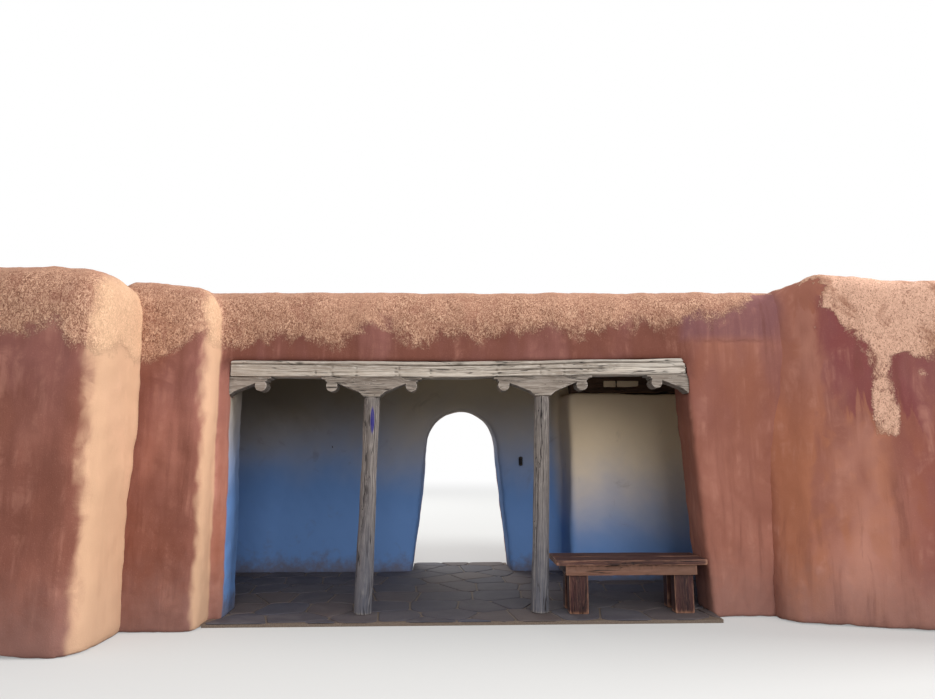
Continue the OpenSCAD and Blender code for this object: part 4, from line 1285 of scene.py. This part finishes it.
def postEnds(node, reach):  # centre and radius of a post's foot and of its top
    points = pointsOf(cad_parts[node].data)
    ends = []
    for level in (points[:, 2].min(), points[:, 2].max()):
        ring = points[np.abs(points[:, 2] - level) < reach]
        centre = (ring.min(axis=0) + ring.max(axis=0)) / 2
        ends.append(((centre[0], centre[1], level), (ring[:, 0].max() - ring[:, 0].min()) / 2))
    return ends


def makePost(node, s):
    (foot, footRadius), (top, topRadius) = postEnds(node, s["endReach"])
    seed, tone = s["seedAndTone"][node]
    part = roundTimber(foot, top, footRadius - s["inset"], topRadius - s["inset"], s["timber"], seed)
    part["tone"] = tone
    return part


for node in postSettings["seedAndTone"]:
    dressParts(node, [makePost(node, postSettings)], woods["postwood"], "weathered_wood", sharp=70)

# Ceiling logs
logSettings = {
    "timber": {"step": 0.08, "sides": 28, "wave": 0.004, "fibre": 0.001,
               "cracks": 3, "crackDepth": 0.010, "crackWidth": 0.007, "knots": 3, "proud": 0.003},
    "insetThick": 0.003, "insetThin": 0.006,
    "seeds": {"portal_logs": 100, "left_logs": 130, "right_logs": 160},
}


def makeLogs(node, s):
    parts = []
    for k, (low, high) in enumerate(solidBoxes(node)):
        size = high - low
        axis = int(np.argmax(size))
        start, end = (low + high) / 2, (low + high) / 2
        start[axis], end[axis] = low[axis], high[axis]
        thick, thin = min(size) / 2 - s["insetThick"], min(size) / 2 - s["insetThin"]
        parts.append(roundTimber(start, end, thick, thin, s["timber"], s["seeds"][node] + k))
    return parts


for node in logSettings["seeds"]:
    dressParts(node, makeLogs(node, logSettings), woods["darkwood"], "dark_wood", sharp=60)

# Ceiling boards over the logs, laid across them
boardSettings = {
    "width": 0.15, "gap": 0.004, "longest": 2.2, "bevel": 0.003, "jitter": 0.001,
    "seeds": {"portal_ceiling": 200, "left_ceiling": 260, "right_ceiling": 320},
}


def ceilingBoard(outline, low, high, longAxis, tone, s, seed):  # a tile turned over, as it is seen from below
    part = tile(outline, low, high, s["bevel"], tone, s["jitter"], seed)
    part["points"][:, 2] = low + high - part["points"][:, 2]
    part["faces"] = [face[::-1] for face in part["faces"]]
    if longAxis == 1:
        part["grain"] = part["grain"][:, [1, 0, 2]]
    return part


def makeBoards(node, s):
    seed = s["seeds"][node]
    rng = np.random.default_rng(seed)
    low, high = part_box(node)
    outline = outlineOf(node, high[2])
    longAxis = 0 if node == "portal_ceiling" else 1
    crossAxis = 1 - longAxis
    longWay, crossWay = np.eye(2)[longAxis], np.eye(2)[crossAxis]
    halfGap = s["gap"] / 2
    parts = []
    place = low[crossAxis]
    while place < high[crossAxis] - 0.01:
        strip = clipped(outline, crossWay * (place + halfGap), crossWay)
        place += s["width"] * rng.uniform(0.85, 1.15)
        strip = clipped(strip, crossWay * (place - halfGap), -crossWay)
        begin = low[longAxis]
        while begin < high[longAxis] and len(strip) > 2:
            finish = begin + rng.uniform(0.6, 1.0) * s["longest"]
            board = clipped(strip, longWay * (begin + halfGap), longWay)
            board = clipped(board, longWay * (finish - halfGap), -longWay)
            begin = finish
            if len(board) > 2:
                tone = rng.uniform(0, 1)
                parts.append(ceilingBoard(board, low[2], high[2], longAxis, tone, s, seed + len(parts)))
    return parts


for node in boardSettings["seeds"]:
    dressParts(node, makeBoards(node, boardSettings), woods["darkwood"], "dark_wood", sharp=30)

# Flagstones on a mortar bed
floorSettings = {
    "spacing": 0.44, "scatter": 0.34, "joint": 0.018, "bevel": 0.007, "below": 0.009, "jitter": 0.0018,
    "bedTone": -1.0, "sunk": 0.004, "smallest": 0.012, "cornerCut": 0.03,
    "seeds": {"portal_floor": 400, "left_floor": 700, "right_floor": 900},
}


def flagCentres(low, high, s, rng):  # staggered rows, each place moved a little
    spacing = s["spacing"]
    centres = []
    for i in range(-1, int((high[0] - low[0]) / spacing) + 2):
        for j in range(-1, int((high[1] - low[1]) / spacing) + 2):
            x = low[0] + (i + 0.5 + 0.5 * (j % 2)) * spacing
            y = low[1] + (j + 0.5) * spacing
            centres.append(np.array([x, y]) + rng.uniform(-s["scatter"], s["scatter"], 2) * spacing)
    return centres


def flagOutline(spot, centres, outline, s):  # what lies nearer to this centre than to any other
    cell = outline
    for other in centres:
        way = spot - other
        gap = np.linalg.norm(way)
        if 0 < gap < 3 * s["spacing"] and len(cell) > 2:
            way /= gap
            cell = clipped(cell, (spot + other) / 2 + way * s["joint"] / 2, way)
    return cell


def makeFlags(node, s):
    seed = s["seeds"][node]
    rng = np.random.default_rng(seed)
    low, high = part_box(node)
    top, bed = high[2], high[2] - s["below"]
    outline = outlineOf(node, top)
    parts = [slab(outline, low[2], bed, s["bedTone"])]
    centres = flagCentres(low, high, s, rng)
    for k, spot in enumerate(centres):
        cell = flagOutline(spot, centres, outline, s)
        if len(cell) > 2 and areaOf(cell) > s["smallest"]:
            cell = softCorners(cell, s["cornerCut"])
            tone = rng.uniform(0, 1)
            parts.append(tile(cell, bed - s["sunk"], top, s["bevel"], tone, s["jitter"], seed + k))
    return parts


for node in floorSettings["seeds"]:
    dressParts(node, makeFlags(node, floorSettings), flagstone, "flagstone", sharp=25)

# Earth roofs with loose gravel
roofSettings = {
    "voxel": 0.06, "wave": 0.006, "waveLength": 0.5, "topDepth": 0.02,
    "stones": 760, "smallest": 0.006, "largest": 0.016, "margin": 0.05, "gravelSeed": 77,
    "seeds": {"portal_roof": 21, "left_roof": 22, "right_roof": 23},
}


def makeRoof(node, s):
    mesh = remeshed(plainName(node), [nodePart(node)], s["voxel"])
    points = pointsOf(mesh)
    surface = points[:, 2] > points[:, 2].max() - s["topDepth"]
    points[surface, 2] += s["wave"] * softNoise(points[surface], s["waveLength"], s["seeds"][node])
    setPoints(mesh, points)
    writeGrain(mesh, points, np.zeros(len(points)))
    return mesh


def insideOutline(outline, spot):
    inside = False
    for i, a in enumerate(outline):
        b = outline[i - 1]
        if (a[1] > spot[1]) != (b[1] > spot[1]):
            crossing = (b[0] - a[0]) * (spot[1] - a[1]) / (b[1] - a[1]) + a[0]
            inside = inside != (spot[0] < crossing)
    return inside


def makeGravel(s):
    bm = bmesh.new()
    bmesh.ops.create_icosphere(bm, subdivisions=1, radius=1.0)
    ball = np.array([tuple(v.co) for v in bm.verts])
    faces = [tuple(v.index for v in f.verts) for f in bm.faces]
    bm.free()
    rng = np.random.default_rng(s["gravelSeed"])
    edge = s["margin"]
    parts = []
    for node in s["seeds"]:
        low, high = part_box(node)
        outline = outlineOf(node, high[2])
        for _ in range(s["stones"]):
            spot = rng.uniform((low[0] + edge, low[1] + edge), (high[0] - edge, high[1] - edge))
            size = rng.uniform(s["smallest"], s["largest"])
            shape = ball * rng.uniform(0.6, 1.0, 3) * size * rng.uniform(0.85, 1.15, (len(ball), 1))
            if insideOutline(outline, spot):
                points = shape + (spot[0], spot[1], high[2] + size * 0.2)
                parts.append({"points": points, "faces": faces, "tone": 1.0})
    return makeMesh("roofgravel", parts, sharp=50)


for node in roofSettings["seeds"]:
    dress(plainName(node), makeRoof(node, roofSettings), roofEarth, "roof_earth", node)
dress("roofgravel", makeGravel(roofSettings), roofEarth, "roof_earth")

# Squared dark timbers: wall plate over the beam, rear lintels
squaredSettings = {
    "spacing": 0.018, "step": 0.03, "round": 0.009, "wave": 0.002, "fibre": 0.0008,
    "cracks": 5, "crackDepth": 0.008, "crackWidth": 0.008, "proud": 0.002,
}


def makePlate():  # its underside climbs with the beam towards the right
    part = boxTimber(plateLow, plateHigh, squaredSettings, 61)
    x, z = part["points"][:, 0], part["points"][:, 2]
    slope = beamHigh[2] - plateLow[2]
    bottom = np.clip((plateHigh[2] - z) / (plateHigh[2] - plateLow[2]), 0, 1)
    part["points"][:, 2] += bottom * slope * np.maximum(x, 0) / plateHigh[0]
    return part


dressParts("wall_plate", [makePlate()], woods["darkwood"], "dark_wood")
lintels = [boxTimber(*box, squaredSettings, 70 + k) for k, box in enumerate(solidBoxes("rear_lintels"))]
dressParts("rear_lintels", lintels, woods["darkwood"], "dark_wood")

# Header and infill over the block in the right bay
headerSettings = {"voxel": 0.012, "rounds": 1, "wave": 0.0015, "seed": 81, "tone": 0.1}
infillSettings = {"voxel": 0.004, "rounds": 3, "wave": 0.0012, "seed": 82, "tone": 0.5}


def weatheredNode(node, s):
    mesh = remeshed(plainName(node), [nodePart(node)], s["voxel"])
    relaxed(mesh, s["rounds"])
    points = pointsOf(mesh)
    lift = s["wave"] * softNoise(points * (0.3, 1, 1), 0.15, s["seed"])
    lift += 0.3 * s["wave"] * softNoise(points * (0.3, 1, 1), 0.03, s["seed"] + 1)
    points = pushed(mesh, lift)
    writeGrain(mesh, points + s["seed"], np.full(len(points), s["tone"]))
    return mesh


header = weatheredNode("block_header", headerSettings)
dress("blockheader", header, woods["darkwood"], "dark_wood", "block_header")
infill = weatheredNode("block_infill", infillSettings)
dress("blockinfill", infill, earthPlaster, "whitewash", "block_infill")

# Rear doors: planks with ledges and iron, in plain frames
joinerySettings = {
    "spacing": 0.02, "step": 0.05, "round": 0.004, "wave": 0.0008, "fibre": 0.0004, "proud": 0.001,
}
strapIron = dict(joinerySettings, round=0.0012, fibre=0.0001, wave=0.0003)
doorSettings = {
    "frame": 0.060, "sill": 0.030, "planks": 5, "plankGap": 0.001,
    "ledge": 0.09, "ledgeIn": 0.03, "ledgeOut": 0.016, "ledgeAt": (0.22, 0.95, 1.68),
    "letIn": 0.001, "rodFrom": 0.003,  # irons lie a little in the planks, rods start just off them
    "strapIn": 0.004, "strapLength": 0.42, "strapFrom": 0.025, "strapTo": 0.063, "strapOut": 0.005,
    "nails": 4, "nailFrom": 0.06, "nailPitch": 0.1, "nailLift": 0.044, "nailOut": 0.006,
    "nailRadius": (0.009, 0.006), "stemRadius": (0.008, 0.009), "gripRadius": (0.008, 0.008),
    "handleIn": 0.09, "handleAt": 1.02, "handleReach": 0.045, "handleHalf": 0.05,
    "plateFrom": 0.93, "plateTo": 1.09, "plateHalf": 0.02, "plateOut": 0.004,
}


def frameParts(low, high, side, sill, s, seed):
    return [
        boxTimber(low, (low[0] + side, high[1], high[2]), s, seed, axis=2),
        boxTimber((high[0] - side, low[1], low[2]), high, s, seed + 1, axis=2),
        boxTimber((low[0] + side, low[1], high[2] - side), (high[0] - side, high[1], high[2]), s, seed + 2),
        boxTimber((low[0] + side, low[1], low[2]), (high[0] - side, high[1], low[2] + sill), s, seed + 3),
    ]


def doorLeaf(low, high, s, seed):
    wide = (high[0] - low[0]) / s["planks"]
    ledgeFace = low[1] + s["ledgeOut"]
    parts = []
    for i in range(s["planks"]):
        plankLow = (low[0] + i * wide + s["plankGap"], ledgeFace, low[2])
        plankHigh = (low[0] + (i + 1) * wide - s["plankGap"], high[1], high[2])
        parts.append(boxTimber(plankLow, plankHigh, joinerySettings, seed + i, axis=2))
    for i, level in enumerate(s["ledgeAt"]):
        ledgeLow = (low[0] + s["ledgeIn"], low[1], low[2] + level)
        ledgeHigh = (high[0] - s["ledgeIn"], ledgeFace, low[2] + level + s["ledge"])
        parts.append(boxTimber(ledgeLow, ledgeHigh, joinerySettings, seed + 30 + i))
    return parts


def doorIron(low, high, s, seed):  # two strap hinges with nails, and a handle on its plate
    face, inner, outer = high[1], high[1] - s["letIn"], high[1] + s["rodFrom"]
    parts = []
    for level in (low[2] + s["ledgeAt"][0], low[2] + s["ledgeAt"][2]):
        strapLow = (low[0] + s["strapIn"], inner, level + s["strapFrom"])
        strapHigh = (low[0] + s["strapLength"], face + s["strapOut"], level + s["strapTo"])
        parts.append(boxTimber(strapLow, strapHigh, strapIron, seed))
        for i in range(s["nails"]):
            x, z = low[0] + s["nailFrom"] + s["nailPitch"] * i, level + s["nailLift"]
            head = (x, outer + s["nailOut"], z)
            parts.append(ironRod((x, outer, z), head, *s["nailRadius"], 600 + i, sides=12, step=0.003))
    x, z = high[0] - s["handleIn"], low[2] + s["handleAt"]
    plateLow = (x - s["plateHalf"], inner, low[2] + s["plateFrom"])
    plateHigh = (x + s["plateHalf"], face + s["plateOut"], low[2] + s["plateTo"])
    parts.append(boxTimber(plateLow, plateHigh, strapIron, 610))
    gripY = outer + s["handleReach"]
    gripEnds = (x - s["handleHalf"], gripY, z), (x + s["handleHalf"], gripY, z)
    parts.append(ironRod((x, outer, z), (x, gripY, z), *s["stemRadius"], 611))
    parts.append(ironRod(*gripEnds, *s["gripRadius"], 612))
    return parts


def makeDoors(s):
    frames, leaves, irons = [], [], []
    for k, (low, high) in enumerate(solidBoxes("door_frames")):
        frames += frameParts(low, high, s["frame"], s["sill"], joinerySettings, 500 + 10 * k)
    for k, (low, high) in enumerate(solidBoxes("door_leaves")):
        leaves += doorLeaf(low, high, s, 540 + 10 * k)
        irons += doorIron(low, high, s, 590 + k)
    dressParts("door_frames", frames, woods["darkwood"], "dark_wood")
    dressParts("door_leaves", leaves, woods["carvedwood"], "weathered_wood")
    dress("doorirons", makeMesh("doorirons", irons), darkIron, "dark_iron")


makeDoors(doorSettings)

# Rear windows: frame, sash and bars round the glass
windowSettings = {
    "frame": 0.048, "sash": 0.036, "sashGap": 0.001, "sashDepth": 0.044, "barFrom": 0.9,
    "bar": 0.022, "rows": 3, "columns": 2, "uprightDepth": 0.028, "crossDepth": 0.026,
}


def windowBars(low, high, centre, s, k):  # the bars reach a little into the sash
    low, high = low + s["sash"] * s["barFrom"], high - s["sash"] * s["barFrom"]
    half = s["bar"] / 2
    parts = []
    for i in range(1, s["columns"]):
        x = low[0] + (high[0] - low[0]) * i / s["columns"]
        barLow = (x - half, centre - s["uprightDepth"] / 2, low[2])
        barHigh = (x + half, centre + s["uprightDepth"] / 2, high[2])
        parts.append(boxTimber(barLow, barHigh, joinerySettings, 640 + k, axis=2))
    for i in range(1, s["rows"]):
        z = low[2] + (high[2] - low[2]) * i / s["rows"]
        barLow = (low[0], centre - s["crossDepth"] / 2, z - half)
        barHigh = (high[0], centre + s["crossDepth"] / 2, z + half)
        parts.append(boxTimber(barLow, barHigh, joinerySettings, 644 + 2 * k + i))
    return parts


def makeWindows(s):
    parts = []
    boxes = zip(solidBoxes("window_frames"), solidBoxes("window_glass"))
    for k, ((low, high), (glassLow, glassHigh)) in enumerate(boxes):
        parts += frameParts(low, high, s["frame"], s["frame"], joinerySettings, 620 + 10 * k)
        inner = s["frame"] + s["sashGap"]
        centre = (glassLow[1] + glassHigh[1]) / 2
        sashLow = np.array((low[0] + inner, centre - s["sashDepth"] / 2, low[2] + inner))
        sashHigh = np.array((high[0] - inner, centre + s["sashDepth"] / 2, high[2] - inner))
        parts += frameParts(sashLow, sashHigh, s["sash"], s["sash"], joinerySettings, 625 + 10 * k)
        parts += windowBars(sashLow, sashHigh, centre, s, k)
    dressParts("window_frames", parts, woods["darkwood"], "dark_wood")


makeWindows(windowSettings)
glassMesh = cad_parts["window_glass"].data
glassMesh.materials.clear()
glassMesh.materials.append(oldGlass)

# Roof spouts: three boards nailed into a channel
spoutSettings = {"board": 0.028}


def spoutBoards(low, high, s, seed):
    inLow, inHigh, sideLow = low[0] + s["board"], high[0] - s["board"], low[2] + s["board"]
    corners = [
        (low, (high[0], high[1], sideLow)),
        ((low[0], low[1], sideLow), (inLow, high[1], high[2])),
        ((inHigh, low[1], sideLow), high),
    ]
    return [boxTimber(a, b, joinerySettings, seed + k, axis=1) for k, (a, b) in enumerate(corners)]


spoutParts = []
for k, (low, high) in enumerate(solidBoxes("roof_spouts")):
    spoutParts += spoutBoards(low, high, spoutSettings, 660 + 3 * k)
dressParts("roof_spouts", spoutParts, woods["carvedwood"], "weathered_wood")

# Bench: two planks, a rough-sawn apron and slab legs
benchSettings = {
    "plank": {"spacing": 0.012, "step": 0.02, "round": 0.006, "wave": 0.0015, "fibre": 0.0006,
              "cracks": 5, "crackDepth": 0.005, "crackWidth": 0.005, "proud": 0.001},
    "apron": {"spacing": 0.005, "step": 0.007, "round": 0.004, "wave": 0.001, "fibre": 0.0004,
              "proud": 0.001},
    "gap": 0.004, "board": 0.030, "gouge": 0.007, "gougeBand": 0.022, "gougeFrom": -0.012,
    "topTone": 0.15, "apronTone": 1.0, "legTone": 0.0,
}


def benchTop(s):
    low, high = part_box("bench_top")
    middle = (low[1] + high[1]) / 2
    parts = [
        boxTimber(low, (high[0], middle - s["gap"] / 2, high[2]), s["plank"], 681),
        boxTimber((low[0], middle + s["gap"] / 2, low[2]), high, s["plank"], 682),
    ]
    return [dict(plank, tone=s["topTone"]) for plank in parts]


def benchApron(s):
    low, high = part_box("bench_apron")
    board = s["board"]

    def gouged(local):  # adze marks along the upper half of the front board
        ridge = softNoise(local * (1.0, 0.2, 2.4), 0.055, 9)
        band = np.clip((local[..., 1] - s["gougeFrom"]) / s["gougeBand"], 0, 1)
        return -s["gouge"] * band * np.clip(0.35 + 0.5 * ridge, 0, 1)

    y, z = low[1] + board / 2, (low[2] + high[2]) / 2
    ends = (low[0], y, z), (high[0], y, z)
    front = squareTimber(*ends, (0, 0, 1), high[2] - low[2], board, s["apron"], 683, gouged)
    front["tone"] = s["apronTone"]
    frontY, backY = low[1] + board, high[1] - board
    return [
        front,
        boxTimber((low[0], backY, low[2]), high, s["plank"], 684),
        boxTimber((low[0], frontY, low[2]), (low[0] + board, backY, high[2]), s["plank"], 685, axis=1),
        boxTimber((high[0] - board, frontY, low[2]), (high[0], backY, high[2]), s["plank"], 686, axis=1),
    ]


def benchLegs(s):
    legs = [boxTimber(*box, s["plank"], 690 + k, axis=2) for k, box in enumerate(solidBoxes("bench_legs"))]
    return [dict(leg, tone=s["legTone"]) for leg in legs]


for node, build in (("bench_top", benchTop), ("bench_apron", benchApron), ("bench_legs", benchLegs)):
    dressParts(node, build(benchSettings), woods["benchwood"], "bench_wood")

# Small iron lamp beside the arch, and a hook in the left bay
lampSettings = {
    "profile": [  # radius and height, from the foot up
        (0.004, 0.0), (0.016, 0.003), (0.020, 0.012), (0.020, 0.018), (0.017, 0.022), (0.019, 0.060),
        (0.021, 0.092), (0.025, 0.096), (0.025, 0.101), (0.014, 0.112), (0.006, 0.118), (0.003, 0.120),
    ],
    "sides": 40,
    "headIn": 0.026,
    "iron": {"spacing": 0.01, "step": 0.02, "round": 0.0015, "wave": 0.0002, "fibre": 0.0001,
             "proud": 0.001},
    "plateHalf": 0.024, "plateEnds": 0.006, "plateFront": 0.006, "plateBack": 0.004,
    "armHalf": 0.005, "armFrom": 0.10, "armTo": 0.108,
}
hookSettings = {
    "x": -1.59, "z": 1.60, "bedded": 0.03, "reach": 0.035, "droop": 0.004,
    "tipFrom": -0.008, "tipTo": 0.018, "tipLean": 0.002,
    "shankRadius": (0.006, 0.005), "tipRadius": (0.005, 0.004), "sides": 14, "step": 0.006,
}


def turned(profile, centre, sides):
    rings = []
    for radius, height in profile:
        for k in range(sides):
            way = 2 * math.pi * k / sides
            x, y = centre[0] + radius * math.cos(way), centre[1] + radius * math.sin(way)
            rings.append((x, y, centre[2] + height))
    return {"points": np.array(rings), "faces": gridFaces(len(profile), sides), "tone": 0.5}


def makeLamp(s):
    low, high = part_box("wall_lamp")
    x, y = (low[0] + high[0]) / 2, low[1] + s["headIn"]
    plateLow = (x - s["plateHalf"], high[1] - s["plateFront"], low[2] + s["plateEnds"])
    plateHigh = (x + s["plateHalf"], high[1] + s["plateBack"], high[2] - s["plateEnds"])
    armLow = (x - s["armHalf"], y, low[2] + s["armFrom"])
    armHigh = (x + s["armHalf"], high[1], low[2] + s["armTo"])
    return [
        turned(s["profile"], (x, y, low[2]), s["sides"]),
        boxTimber(plateLow, plateHigh, s["iron"], 710, axis=2),
        boxTimber(armLow, armHigh, s["iron"], 711, axis=1),
    ]


def makeHook(s):
    x, z = s["x"], s["z"]
    wall = archLow[1]
    tip = wall - s["reach"]
    shankEnds = (x, wall + s["bedded"], z), (x, tip, z - s["droop"])
    tipEnds = (x, tip, z + s["tipFrom"]), (x, tip - s["tipLean"], z + s["tipTo"])
    return [
        ironRod(*shankEnds, *s["shankRadius"], 712, s["sides"], s["step"]),
        ironRod(*tipEnds, *s["tipRadius"], 713, s["sides"], s["step"]),
    ]


dressParts("wall_lamp", makeLamp(lampSettings), darkIron, "dark_iron", sharp=30)
dress("wallhook", makeMesh("wallhook", makeHook(hookSettings)), darkIron, "dark_iron")
print("house dressed")

bpy.context.scene.view_settings.view_transform = "Standard"
